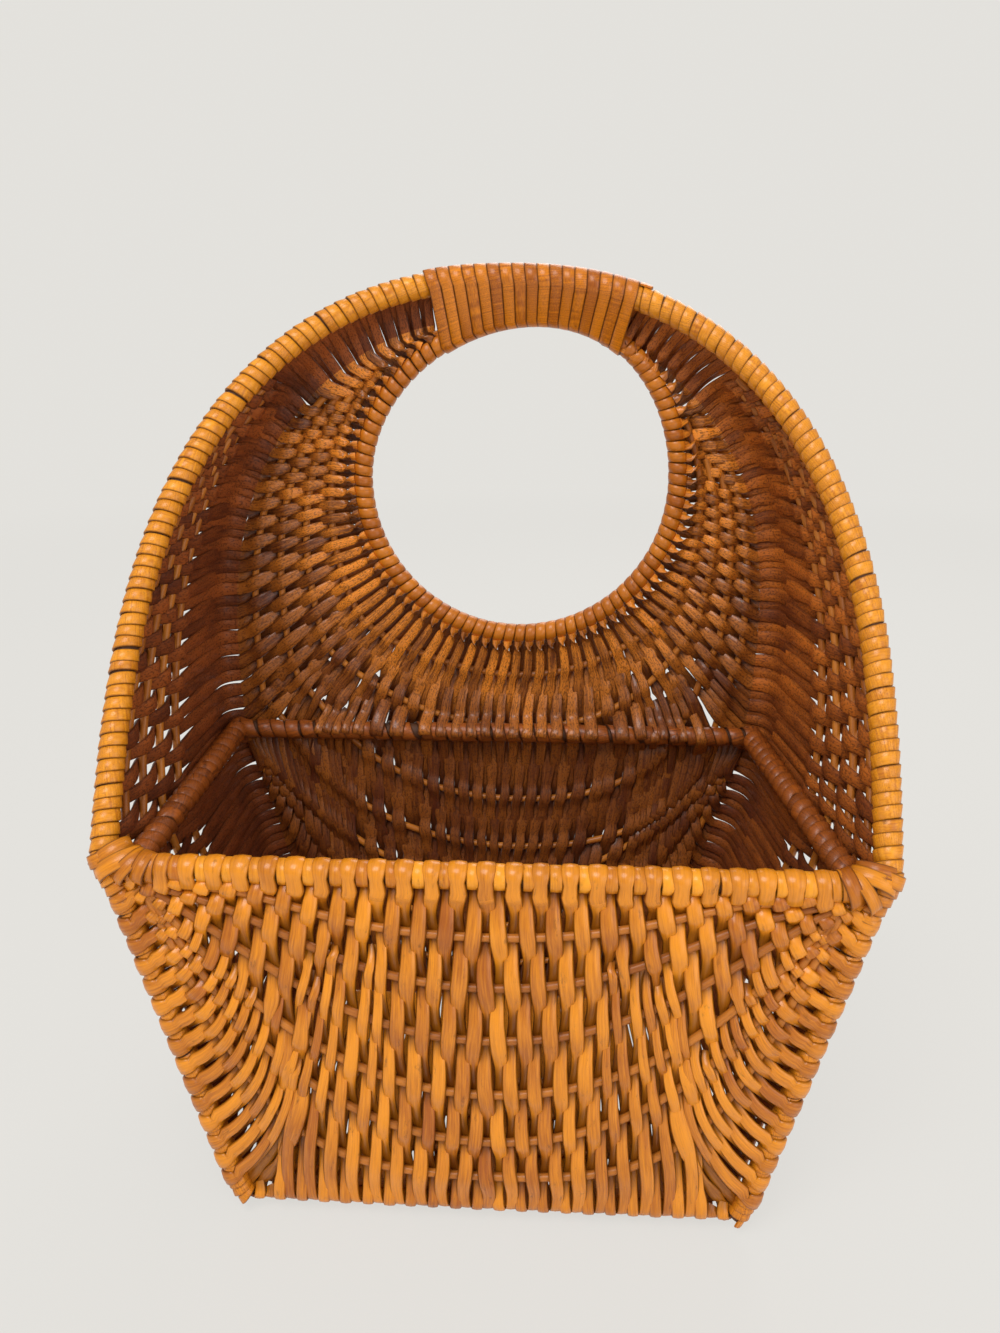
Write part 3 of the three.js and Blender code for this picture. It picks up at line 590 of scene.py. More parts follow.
# A strip's breadth as a share of the room beside it, at the base and at an edge, and its limits
FRONT_SHARE_LOW = 1.33
FRONT_SHARE_EDGE = 1.6
FRONT_BREADTHS = (4.6, 7.8)
FRONT_WHOLE_BREADTH = 7.4

# Bands over each corner: angle, place inward and upward, half of its length, and breadth
CORNER_BANDS = {
    -1: ((57, 1.5, 5.5, 8.6, 0.9), (57, 5.0, 1.2, 10.6, 1.05), (40, 10.0, 0.2, 8.6, 0.95),
         (19, 16.0, 0.0, 7.2, 0.9)),
    1: ((80, 1.5, 6.2, 8.4, 0.8), (66, 3.6, 2.2, 9.6, 0.95), (34, 8.4, -2.0, 9.6, 0.8),
        (22, 13.4, -0.8, 8.2, 0.9)),
}


def front_end(x):
    """Where a line from x on the rim ends, as a distance round the outline from the middle of the base."""
    return float(np.interp(abs(x), *FRONT_FLOW))


def front_line(x, at):
    """A line of the front's weave from the rim, in x and height, and whether it ends at the base."""
    side = -1 if x < 0 else 1
    start = (x, RIM_HEIGHT)
    if at <= BASE_HALF - 5:
        low = side * at
        upper_pull, lower_pull, foot = 116, 72, 12
        return bezier(start, (x, upper_pull), (mix(x, low, 0.9), lower_pull), (low, foot), 60), True
    edge = even(pocket_side(BASE_HALF, RIM_HALF, EDGE_DIAMETER / 2), count=240)
    length = distances(edge)[-1]
    distance = max(length - at + BASE_HALF - CORNER_ROUND, 2.0)
    end = along(edge, 1 - distance / length)[0] * [side, 1]
    turned = smoothstep(distance, 60, 185)
    way = unit(np.array([side * mix(0.92, 0.72, turned), -mix(0.40, 0.70, turned)]))
    return bezier(start, (x, RIM_HEIGHT - 0.57 * distance), end - way * 0.26 * distance, end, 60), False


def extra_lines(last, line, before, number):
    """Pairs of lines that start between two others, once these have come far enough apart."""
    extra = number - before - 1
    path, beside = (even(front_surface(front_line(*one)[0]), LINE_STEP) for one in (last[:2], line))
    room = room_to(path, beside)
    lines = []
    for n in range(extra):
        outer = extra > 2 and n in (0, extra - 1)
        first = room_from(room, FRONT_OUTER_ROOM if outer else FRONT_PAIR_ROOM, len(path) - 8)
        share = (n + 1) / (extra + 1)
        over = (before + 1 + n) % 2 == 0
        lines.append((mix(last[0], line[0], share), mix(last[1], line[1], share), over, first / len(path)))
    return lines


def front_lines():
    """The front's lines: start, end round the outline, whether over the rim, and the share left out."""
    lines = []
    for side in (-1, 1):
        half = []
        number = 0
        for k in range(int((RIM_HALF - 6) / FRONT_PITCH) + 1):
            x = side * (k * FRONT_PITCH + RANDOM.uniform(-0.4, 0.4) * (k > 0))
            before, number = number, k + 2 * int(round((front_end(x) / FRONT_LOW_PITCH - k) / 2))
            at = number * FRONT_LOW_PITCH + RANDOM.uniform(-0.3, 0.3)
            if half and number > before + 1:
                half += extra_lines(half[-1], (x, at), before, number)
            if k > 0 or side > 0:
                half.append((x, at, number % 2 == 0, 0.0))
        lines = half[::-1] if side < 0 else lines + half
    return lines


FRONT_LINES = front_lines()


def front_strands():
    """Strands of the front and the base."""
    drawn = []
    for x, at, _, skipped in FRONT_LINES:
        flat, to_base = front_line(x, at)
        path = even(front_surface(flat), LINE_STEP)
        drawn.append((path[int(len(path) * skipped):], to_base))
    rooms = room_beside([path for path, _ in drawn])
    return [front_strand(line, *path, room) for line, path, room in zip(FRONT_LINES, drawn, rooms)]


def front_strand(line, drawn, to_base, room):
    """One strip of the front, from the rim or from between its neighbours to the edge or under the base."""
    x, _, over, skipped = line
    path = drawn
    normals = np.tile(TOWARDS_HOLE, (len(path), 1))
    stations = [(s, FRONT_LIFT if (number % 2 == 1) == over else -FRONT_LIFT)
                for s, number in crossings(path, RIB_LINES["front"])]
    if to_base:
        path, normals, stations = turn_under(path, normals, stations, over)
    elif over or len(path) <= 8 or path[-1, 2] < 15:
        run = distances(path)[-1]
        stations = [one for one in stations if one[0] < run - 5] + [(run, BEHIND_EDGE)]
    else:
        path, normals, stations = over_edge(path, normals, stations, -1 if x < 0 else 1)
    if skipped:
        stations = [(0.0, BEHIND_NEIGHBOURS)] + [one for one in stations if one[0] > 4]
    elif over:
        path, normals, stations = over_rim(path, normals, stations)
    else:
        stations.insert(0, (0.0, BEHIND_RIM))
    size, shade = RANDOM.uniform(0.92, 1.06), RANDOM.uniform()
    # Over the rim a strip's tone is lightened like the rim's wraps, whose lightness is partly the cane's own
    # and partly painted light.
    if over and not skipped:
        shade = np.where(path[:, 2] > RIM_HEIGHT - 9, 0.3 * shade, shade)
    share = FRONT_SHARE_LOW if to_base else FRONT_SHARE_EDGE
    spread = np.clip(nearest(path, drawn, room) * share, *FRONT_BREADTHS) / FRONT_WHOLE_BREADTH
    thin = 0.72 if to_base else 0.86
    if to_base:
        below = smoothstep(-path[:, 2], -24, -9)
        spread, thin = mix(spread, 0.8, below), mix(thin, 0.97, below)
    return woven(path, normals, stations, lean=0.9 if x < 0 else -0.9, thin=thin * size, full=1.05 * size,
                 shade=shade, spread=spread)


def over_edge(path, normals, stations, side, steps=16):
    """Brings the end of a line over the wrapped edge and round its outer side."""
    slope = unit(np.array([RIM_HALF - BASE_HALF, RIM_HEIGHT]))
    outward = np.array([side * slope[1], 0.0, -slope[0]])
    along_edge = np.array([side * slope[0], 0.0, slope[1]])
    radius = EDGE_DIAMETER / 2 - 0.1
    axis = path[-1] + [0, RIB_OFFSET, 0]
    drift = unit(path[-1] - path[-2]) * [1, 0, 1]
    turn = np.radians(np.linspace(-38, 165, steps))
    swing = circling(turn, TOWARDS_HOLE, outward)
    slide = 5.5 * float(smoothstep(path[-1, 2], 4, 34))
    shift = along_edge * (drift @ along_edge) * np.linspace(0, slide, steps)[:, None]
    kept = path[:-3]
    whole = np.vstack([kept, axis + swing * radius + shift])
    run = distances(whole)
    last = distances(kept)[-1]
    join = radius * math.cos(turn[0]) - RIB_OFFSET
    stations = [(s, h) for s, h in stations if s < last - 3]
    stations += [(last, join * 0.9), (run[len(kept)], 0.0), (run[-1], 0.0)]
    return whole, np.vstack([normals[:-3], swing]), stations


def corner_straps(side, depth=7.3):
    """Flat bands laid slantwise over the joint of the hoop's foot, the rim and the side rod."""
    straps = []
    up = unit(on_hoop_plane(0, 10.0) - on_hoop_plane(0, 0.0))
    outer = np.array([side, 0.0, 0.0])
    deep = np.cross(outer, up)
    corner = np.array([side * 166.0, -RIM_DEPTH, RIM_HEIGHT])
    turns = np.linspace(0, 2 * np.pi, 32, endpoint=False)
    for angle, inward, rise, half, size in CORNER_BANDS[side]:
        turn = math.radians(angle)
        down = outer * math.sin(turn) - up * math.cos(turn)
        axis = -outer * math.cos(turn) - up * math.sin(turn)
        centre = corner - outer * inward + up * rise
        points = centre + down * (half * np.cos(turns))[:, None] + deep * (depth * np.sin(turns))[:, None]
        points = points + axis * (0.5 * np.sin(turns + inward))[:, None]
        straps.append(strand(points, circling(turns, down, deep), size, closed=True))
    return straps


def foot_cap(side):
    """Turns of cane that lead from the hoop's foot down to the front edge, each smaller than the last."""
    line = edge_line(side)
    top = on_hoop_plane(side * HOOP_FOOT_HALF, 4.0)
    foot = line[int(np.abs(line[:, 2] - (RIM_HEIGHT - 13.0)).argmin())]
    way = unit(foot - top)
    across = unit(np.cross(way, TOWARDS_HOLE))
    turns = np.linspace(0, 2 * np.pi, 28, endpoint=False)
    swing = circling(turns, across, np.cross(way, across))
    bands = []
    for i, share in enumerate(np.linspace(0, 1, 5)):
        middle = mix(top, foot, share) + way * (0.8 * np.sin(turns + 0.7 * i))[:, None]
        bands.append(strand(middle + swing * mix(6.3, 5.0, share), swing - 0.16 * way, mix(1.0, 0.8, share),
                            closed=True))
    return bands


def turn_under(path, normals, stations, over):
    """Carries a line round the front's lower edge and under the pocket to its back."""
    x, y, z = path[-1]
    radius = z - RIB_LAYER
    turn = np.linspace(0, np.pi / 2, 7)[1:]
    bend = np.stack([np.full(6, x), y + radius * (1 - np.cos(turn)), z - radius * np.sin(turn)], axis=1)
    back = np.array([x * (BACK_BASE_HALF / BASE_HALF) + BACK_SHIFT_LOW, 3.0 - RIB_LAYER, RIB_LAYER])
    under = mix(bend[-1], back, np.linspace(0, 1, 70)[1:, None])
    corner = distances(path)[-1] + radius * np.pi / 4
    whole = np.vstack([path, bend, under])
    normals = np.vstack([normals, circling(turn, TOWARDS_HOLE, -UP), np.tile(-UP, (len(under), 1))])
    stations = stations + [(corner, 0.1 if over else 0.9)]
    sign = 1 if over else -1
    for s, _ in crossings(whole, RIB_LINES["cradle"], 3.2):
        if s > corner + 8:
            stations.append((s, sign * 2.6))
            sign = -sign
    stations.append((distances(whole)[-1], 0.0))
    return whole, normals, stations


def over_rim(path, normals, stations):
    """Starts a line behind the rim and brings it over the top and down the front."""
    turn = np.linspace(math.radians(-60), math.radians(165), 20)
    swing = circling(turn, UP, TOWARDS_HOLE)
    loop = np.array([path[0, 0], -RIM_DEPTH, RIM_HEIGHT]) + swing * (RIM_DIAMETER - CANE_THICKNESS) / 2
    last = int(np.nonzero(loop[:, 2] > RIM_HEIGHT - 1.0)[0][-1])
    loop, swing = loop[:last + 1], swing[:last + 1]
    first = int(np.searchsorted(-path[:, 2], -(RIM_HEIGHT - 5.0)))
    start = distances(path)[first]
    whole = np.vstack([loop, path[first:]])
    run = distances(whole)
    over_front = path[first, 1] - loop[-1, 1]
    lead = [(0.0, 0.0), (run[last], 0.0), (run[last + 1] + 1.0, over_front * 0.9)]
    kept = [(s + run[last + 1] - start, h) for s, h in stations if s > start]
    return whole, np.vstack([swing, normals[first:]]), lead + kept


def rim_wraps():
    """The short wraps between the strips that come down the front."""
    wraps = []
    turn = np.linspace(0, 2 * np.pi, 24, endpoint=False)
    swing = circling(turn, UP, TOWARDS_HOLE)
    for x, _, over, skipped in FRONT_LINES:
        if over or skipped:
            continue
        slant = RANDOM.uniform(0.2, 0.9)
        across = np.array([1.0, 0.0, 0.0]) * (x + slant * np.sin(turn))[:, None]
        points = across + [0, -RIM_DEPTH, RIM_HEIGHT] + swing * (RIM_DIAMETER - CANE_THICKNESS) / 2
        wraps.append(strand(points, swing, RANDOM.uniform(0.96, 1.08), closed=True))
    return wraps


# Back and sides

RING_LEGS = math.radians(1.97)
BACK_LIFT = 2.85
HANDLE_FROM = math.radians(-150.6)
HANDLE_TO = math.radians(149)
CORNER_ANGLES = {-1: math.radians(46.2), 1: math.radians(40.0)}

# Lines within the corners: how they fan out at the bar, and the half-breadth within which they go on down
BAR_FAN = 112.0
BAR_HALF = 112.0

# Room between two lines of the back for a pair of extra ones: at the crease, and where the pair starts
BACK_PAIR_ROOM = (7.4, 30.0)
BACK_PAIR_START = 6.0
BACK_SETTLED_START = 6.6

# A strip's breadth as a share of the room beside it, and its limits
BACK_SHARE = 1.5
BACK_BREADTHS = (4.9, 8.0)
BACK_WHOLE_BREADTH = 5.0

# Ribs this near the bar are passed with it, and ribs this near each other are passed as one
NEAR_BAR = 11.0
NEAR_RIB = 5.0

# Between ribs this far apart a strip settles to a share of its height, a little past the one rib
LONG_SPAN = 24.0
SETTLES_AFTER = 9.0
SETTLED_SHARE = 0.2

# The fan of strips out of a lower corner: pitch down the edge, and how much is left at its ends
CORNER_PITCH = 5.1
CORNER_TOP = 2.6
CORNER_END = 1.5


def back_path(angle, aim):
    """The back's line from an angle on the ring, aimed at another, its climb at the crease and its side."""
    side = -1 if aim < 0 else 1
    outward = np.array([math.sin(angle), -math.cos(angle)])
    start = ring_point(angle)[[0, 2]]
    turn = abs(aim)
    if turn >= CORNER_ANGLES[side]:
        climb = WALLS[side].climb_at(turn)
        end = WALLS[side].at(climb, -1.0)[0][[0, 2]]
        towards = np.array([math.sin(aim), -math.cos(aim)])
        reach = np.linalg.norm(end - start)
        line = bezier(start, start + outward * reach * 0.33, end - towards * reach * 0.33, end, 30)
        return even(back_surface(line), LINE_STEP), climb, side
    spread = BAR_FAN * turn * (1 + 0.46 * (turn / CORNER_ANGLES[side]) ** 2)
    at_bar = np.array([BACK_SHIFT_LOW * 0.4 + 4 + side * spread, BACK_BAR_HEIGHT])
    line = bezier(start, start + outward * 26, at_bar + [-side * spread * 0.08, 26], at_bar, 24)
    if spread < BAR_HALF:
        low = np.array([BACK_SHIFT_LOW + side * spread * (0.86 + 0.1 * (spread / BAR_HALF) ** 4), 6.5])
        lower = bezier(at_bar, at_bar + [side * spread * 0.06, -40], low + [0, 60], low, 40)
        line = np.vstack([line, lower[1:]])
    return even(back_surface(line), LINE_STEP), None, side


def with_side(flat, climb, side):
    """Carries a line of the back round the crease and across the side wall to its front."""
    wall = WALLS[side]
    span = max(wall.width(max(climb, 1e-3)), 6.0) + CREASE_ROUND * 1.6
    points, normals = wall.at(climb, np.linspace(-1, 1, max(int(span / LINE_STEP), 8))[1:])
    return np.vstack([flat, points]), np.vstack([np.tile(TOWARDS_WALL, (len(flat), 1)), normals])


def back_stations(path, front_leg, past_bar):
    """Heights at the ribs that a line crosses, towards the wall when positive."""
    ribs = RIB_LINES["hole"] + RIB_LINES["lower_back"] + RIB_LINES["cradle"]
    found = [(s, BACK_LIFT) for s, _ in crossings(path, ribs)]
    if past_bar:
        at_bar = distances(path)[np.abs(path[:, 2] - BACK_BAR_HEIGHT).argmin()]
        found = [(s, h) for s, h in found if abs(s - at_bar) > NEAR_BAR]
        found = sorted(found + [(at_bar, BAR_DEPTH - RIB_LAYER + BACK_BAR_DIAMETER / 2 + 0.8)])
    merged = []
    for s, h in found:
        if merged and s - merged[-1][0] < NEAR_RIB:
            merged[-1] = (s, max(h, merged[-1][1]))
        else:
            merged.append((s, h))
    return settled([(s, -h if (i % 2 == 0) == front_leg else BACK_LIFT) for i, (s, h) in enumerate(merged)])


def settled(stations):
    """Brings strips level with each other between ribs that are far apart."""
    level = stations[:1]
    for (s, h), (t, g) in zip(stations, stations[1:]):
        if t - s > LONG_SPAN:
            level += [(s + SETTLES_AFTER, SETTLED_SHARE * h), (t - SETTLES_AFTER, SETTLED_SHARE * g)]
        level.append((t, g))
    return level


def ring_loop(back_angle, front_angle, steps=22):
    """A turn of cane round the ring, from behind it, through the hole and down its front."""
    angles = np.linspace(back_angle, front_angle, steps)
    outward = np.stack([np.sin(angles), np.zeros(steps), -np.cos(angles)], axis=1)
    swing = circling(np.radians(np.linspace(285, 34, steps)), outward, TOWARDS_HOLE)
    centres = np.array([ring_point(a) for a in angles])
    return centres + swing * (RING_DIAMETER / 2 - CANE_THICKNESS / 2), swing


def back_legs():
    """The back's lines in order round the ring: angle, aim, whether a front leg, and how much is left out."""
    angles = np.arange(math.ceil(HANDLE_FROM / RING_LEGS), HANDLE_TO / RING_LEGS) * RING_LEGS
    lines = [back_path(angle, angle)[0] for angle in angles]
    legs = [[angles[0], angles[0], True, 0.0]]
    for one, other, line, beside in zip(angles, angles[1:], lines, lines[1:]):
        room = room_to(line, beside)
        first = room_from(room, BACK_PAIR_START, len(line))
        if BACK_PAIR_ROOM[0] < room[-1] < BACK_PAIR_ROOM[1] and len(line) - first > 6:
            for n in (1, 2):
                middle = mix(one, other, n / 3)
                legs.append([middle, middle, not legs[-1][2], first / len(line)])
        legs.append([other, other, not legs[-1][2], 0.0])
    for _ in range(6):
        aims = [leg[1] for leg in legs]
        for i in range(1, len(legs) - 1):
            legs[i][1] = (aims[i - 1] + 2 * aims[i] + aims[i + 1]) / 4
    for i in range(1, len(legs) - 2):
        if legs[i][3] and not legs[i - 1][3]:
            line, beside = (back_path(*legs[n][:2])[0] for n in (i - 1, i + 2))
            first = room_from(room_to(line, beside), BACK_SETTLED_START, len(line))
            legs[i][3] = legs[i + 1][3] = min(first / len(line), 0.95)
    return legs


def back_strands():
    """Strands of the back and of both side walls, nearly all tied to the ring."""
    back, loops, sides = [], [], {-1: [], 1: []}
    legs = back_legs()
    tied = [leg for leg in legs if not leg[3]]
    for one, other in zip(tied[::2], tied[1::2]):
        loop, swing = ring_loop(other[0], one[0])
        loops.append(strand(loop, swing, RANDOM.uniform(1.12, 1.24)))
    lines = []
    for angle, aim, _, skipped in legs:
        flat, climb, side = back_path(angle, aim)
        path = flat if climb is None else with_side(flat, climb, side)[0]
        lines.append(path[int(len(flat) * skipped):])
    for (angle, aim, front_leg, skipped), line, room in zip(legs, lines, room_beside(lines)):
        shade, size = RANDOM.uniform(), RANDOM.uniform(0.93, 1.05)
        flat, climb, side = back_path(angle, aim)
        path, normals = flat, np.tile(TOWARDS_WALL, (len(flat), 1))
        if climb is not None:
            path, normals = with_side(flat, climb, side)
        stations = back_stations(path, front_leg, climb is None and flat[-1, 2] < BACK_BAR_HEIGHT - 20)
        run = distances(path)
        first = int(np.searchsorted(run, RING_DIAMETER / 2 * 0.5))
        lead = -(RING_DEPTH + 3.9 - RIB_LAYER) if front_leg else RIB_LAYER - 2.5
        if skipped:
            first = int(len(flat) * skipped)
            lead = 2.4
        kept = [(s, h) for s, h in stations if s > run[first] + 4]
        whole = woven(path, normals, [(run[first], lead)] + kept + [(run[-1], 0.0)], lean=0.5 * side,
                      thin=0.72 * size, full=1.02 * size, shade=shade,
                      spread=back_spread(path, line, room, front_leg), seen=-1)
        whole = cut(whole, first, None)
        if front_leg and not skipped:
            fold(whole)
        crease = len(flat) - first
        back.append(cut(whole, 0, crease + 1))
        if climb is not None and crease < len(whole["points"]) - 2:
            sides[side].append(cut(whole, crease, None))
    return back, sides, loops


def back_spread(path, line, room, front_leg):
    """How broad a strip is, by the room that it has between its neighbours."""
    near_ring = 0.0 if front_leg else 0.62 * (1 - smoothstep(distances(path), 4.0, 22.0))
    return np.clip(nearest(path, line, room) * BACK_SHARE, *BACK_BREADTHS) / BACK_WHOLE_BREADTH + near_ring


def fold(whole, length=9.0):
    """Turns a strip over just past the ring, so that its split side shows."""
    turn = np.pi * (1 - smoothstep(whole["run"] - whole["run"][0], 0.0, length))
    across = np.cross(unit(np.gradient(whole["points"], axis=0)), whole["facing"])
    whole["facing"] = unit(circling(turn, whole["facing"], across))


def corner_strands():
    """Strands that fan out of the pocket's back corners, below the side rods, and cross its sides."""
    back, sides = [], {-1: [], 1: []}
    length = distances(BACK_SIDE[::-1])[-1]
    for side in (-1, 1):
        for k, distance in enumerate(np.arange(CORNER_TOP, length - CORNER_END, CORNER_PITCH)):
            climb = 1 - distance / length
            end = WALLS[side].at(climb, -1.0)[0][[0, 2]]
            inward = CREASE_INSET + 4 + distance / EDGE_SPREAD
            start = np.array([side * (HOOP_FOOT_HALF - inward) + BACK_SHIFT_LOW, RIM_HEIGHT + 4])
            pull = 0.36 * distance
            bend = np.array([side * 0.66, -0.75]) * pull
            flat = even(back_surface(bezier(start, start - [0, pull], end - bend, end, 30)), LINE_STEP)
            path, normals = with_side(flat, climb, side)
            stations = [(0.0, 1.0)] + back_stations(path, k % 2 == 0, False) + [(distances(path)[-1], 0.0)]
            size = RANDOM.uniform(0.9, 1.05)
            whole = woven(path, normals, stations, lean=0.5 * side, thin=0.96 * size, full=1.25 * size,
                          seen=-1)
            back.append(cut(whole, 0, len(flat) + 1))
            sides[side].append(cut(whole, len(flat), None))
    return back, sides


# Bindings

FLAT_CANE = 6.0
HOOP_SHARES = np.linspace(0, 1, len(HOOP_LINE))


def handle_point(share, angle):
    """A point on the bound handle at a share of its length and an angle round it, its way out and along."""
    def section(curve, x, low, high):
        for _ in range(26):
            middle = (low + high) / 2
            if curve(middle)[0] < x:
                low = middle
            else:
                high = middle
        at = (low + high) / 2
        return curve(at), unit(curve(at + 0.01) - curve(at - 0.01))

    def on_hoop(t):
        return np.array([np.interp(t, HOOP_SHARES, HOOP_LINE[:, i]) for i in range(3)])

    hoop, hoop_way = section(on_hoop, mix(*HANDLE_ON_HOOP, share), 0.2, 0.8)
    ring, ring_way = section(lambda turn: ring_point(-turn), mix(*HANDLE_ON_RING, share), 2.2, 4.2)
    way = unit(mix(ring_way, hoop_way, (1 + math.cos(angle)) / 2))
    up = hoop - ring
    up = unit(up - way * (up @ way))
    out = up * math.cos(angle) + np.cross(way, up) * math.sin(angle)
    over_hoop = hoop + out * (HOOP_DIAMETER / 2 + HANDLE_CLEARANCE)
    over_ring = ring + out * (RING_DIAMETER / 2 + HANDLE_CLEARANCE)
    return (over_hoop if over_hoop @ out > over_ring @ out else over_ring), out, way


def handle_strand(steps=32):
    """The flat cane wound round hoop and ring, as broad as its turns leave room for."""
    places = []
    for i in range(HANDLE_TURNS * steps + 1):
        turns = i / steps
        places.append(handle_point(turns / HANDLE_TURNS, 2 * math.pi * turns))
    points, facing, ways = (np.array(part) for part in zip(*places))
    points = points + facing * CANE_THICKNESS / 2
    pitch = np.sum((points[steps:] - points[:-steps]) * ways[:-steps], axis=1)
    pitch = np.concatenate([pitch, np.full(steps, pitch[-1])])
    last = np.concatenate([np.full(steps, pitch[0]), pitch[:-steps]])
    made = strand(points, facing, (np.minimum(pitch, last) + 0.1) / FLAT_CANE)
    made["shade"] = 0.5 + 0.3 * np.sin(made["run"] * 0.031) + 0.2 * np.sin(made["run"] * 0.083 + 1)
    return made


def corner_strand(side, steps=28):
    """The flat cane wound round an end of the rim."""
    length = CORNER_TURNS * (CORNER_CANE_WIDTH + CANE_GAP)
    radius = RIM_DIAMETER / 2 + CLEARANCE + CANE_THICKNESS / 2
    turns = np.linspace(0, CORNER_TURNS, CORNER_TURNS * steps + 1)
    share = (turns + 0.5) / (CORNER_TURNS + 1)
    x = side * (CORNER_BINDING_START - length * (1 - share))
    swing = circling(2 * np.pi * turns, UP, TOWARDS_HOLE)
    centre = np.stack([x, np.full(len(turns), -RIM_DEPTH), np.full(len(turns), RIM_HEIGHT)], axis=1)
    return strand(centre + swing * radius, swing, (length / (CORNER_TURNS + 1) - 0.3) / FLAT_CANE)


# Node trees for the shapes

class Flow:
    """What flows out of a node, so that sums with it can be written as plain ones."""

    def __init__(self, tree, socket):
        self.tree = tree
        self.socket = socket

    def maths(self, operation, other=0.0):
        return flow(self.tree, "ShaderNodeMath", {0: self, 1: other}, operation=operation)

    def vector(self, operation, other):
        place = "Scale" if operation == "SCALE" else 1
        return flow(self.tree, "ShaderNodeVectorMath", {0: self, place: other}, "Vector", operation=operation)

    def __add__(self, other):
        return self.maths("ADD", other)

    def __sub__(self, other):
        return self.maths("SUBTRACT", other)

    def __mul__(self, other):
        return self.maths("MULTIPLY", other)

    def __truediv__(self, other):
        return self.maths("DIVIDE", other)


def put(tree, kind, inputs=None, **settings):
    """Adds a node, sets its properties, and fills or links its inputs by name or number."""
    node = tree.nodes.new(kind)
    for key, value in settings.items():
        setattr(node, key, value)
    for key, value in (inputs or {}).items():
        if isinstance(value, Flow):
            tree.links.new(value.socket, node.inputs[key])
        else:
            node.inputs[key].default_value = value
    return node


def flow(tree, kind, inputs=None, output=0, **settings):
    """Adds a node in the same way, and gives what flows out of it."""
    return Flow(tree, put(tree, kind, inputs, **settings).outputs[output])


def given_to(tree):
    """What flows into a tree, by the names of its inputs."""
    return {socket.name: Flow(tree, socket) for socket in tree.nodes.new("NodeGroupInput").outputs}


def new_tree(name, inputs):
    """A Geometry Nodes tree, what flows into it, and the node where its geometry goes out."""
    tree = bpy.data.node_groups.new(name, "GeometryNodeTree")
    for label, kind, default in [("Geometry", "Geometry", None)] + inputs:
        socket = tree.interface.new_socket(label, in_out="INPUT", socket_type="NodeSocket" + kind)
        if default is not None:
            socket.default_value = default
    tree.interface.new_socket("Geometry", in_out="OUTPUT", socket_type="NodeSocketGeometry")
    return tree, given_to(tree), tree.nodes.new("NodeGroupOutput")


def named(tree, name, kind="FLOAT"):
    return flow(tree, "GeometryNodeInputNamedAttribute", {"Name": name}, "Attribute", data_type=kind)


def store(geometry, name, value, kind="FLOAT"):
    return flow(geometry.tree, "GeometryNodeStoreNamedAttribute",
                {"Geometry": geometry, "Name": name, "Value": value}, data_type=kind, domain="POINT")


def painted(geometry, material):
    return flow(geometry.tree, "GeometryNodeSetMaterial", {"Geometry": geometry, "Material": material})


def cane_profile(tree, width, thickness, roundness, underside):
    """A strip's section: domed on its outer side, and flat or round below."""
    circle = flow(tree, "GeometryNodeCurvePrimitiveCircle", {"Resolution": 8, "Radius": 1.0})
    place = put(tree, "ShaderNodeSeparateXYZ", {0: flow(tree, "GeometryNodeInputPosition")})

    def bulge(axis):
        value = Flow(tree, place.outputs[axis])
        return value.maths("ABSOLUTE").maths("POWER", roundness) * value.maths("SIGN")

    marked = store(circle, "side", bulge("X"))
    marked = store(marked, "rise", bulge("Y").maths("MAXIMUM", underside * -1.0))
    spot = flow(tree, "ShaderNodeCombineXYZ", {
        "X": named(tree, "rise") * (thickness * 0.5),
        "Y": named(tree, "side") * (width * 0.5),
    })
    return flow(tree, "GeometryNodeSetPosition", {"Geometry": marked, "Position": spot})


def resampled(line, step):
    return flow(line.tree, "GeometryNodeResampleCurve", {"Curve": line, "Length": step}, mode="LENGTH")


def sweep(line, profile, scale=1.0):
    return flow(line.tree, "GeometryNodeCurveToMesh",
                {"Curve": line, "Profile Curve": profile, "Scale": scale, "Fill Caps": True})


def strip_along(line, profile, breadth):
    """Sweeps a strip along a line that holds which way its outer side faces."""
    tree = line.tree
    turned = flow(tree, "GeometryNodeSetCurveNormal",
                  {"Curve": line, "Normal": named(tree, "facing", "FLOAT_VECTOR")}, mode="FREE")
    return flow(tree, "GeometryNodeFlipFaces", {"Mesh": sweep(turned, profile, breadth)})


def finish_tree(geometry, out, material=None):
    """Ends a tree in smooth plain geometry, of one material unless its parts have their own."""
    tree = geometry.tree
    soft = flow(tree, "GeometryNodeSetShadeSmooth", {"Geometry": geometry})
    real = flow(tree, "GeometryNodeRealizeInstances", {"Geometry": soft})
    done = painted(real, material) if material else real
    tree.links.new(done.socket, out.inputs[0])
    return tree


def strip_tree():
    """Sweeps a strip of cane along each strand."""
    tree, given, out = new_tree("Cane Strip", [
        ("Cane Width", "Float", 0.006),
        ("Cane Thickness", "Float", 0.002),
        ("Roundness", "Float", 0.7),
        ("Underside", "Float", 0.4),
        ("Material", "Material", None),
    ])
    line = flow(tree, "GeometryNodeMeshToCurve", {"Mesh": given["Geometry"]})
    profile = cane_profile(tree, given["Cane Width"], given["Cane Thickness"], given["Roundness"],
                           given["Underside"])
    return finish_tree(strip_along(line, profile, named(tree, "breadth")), out, given["Material"])


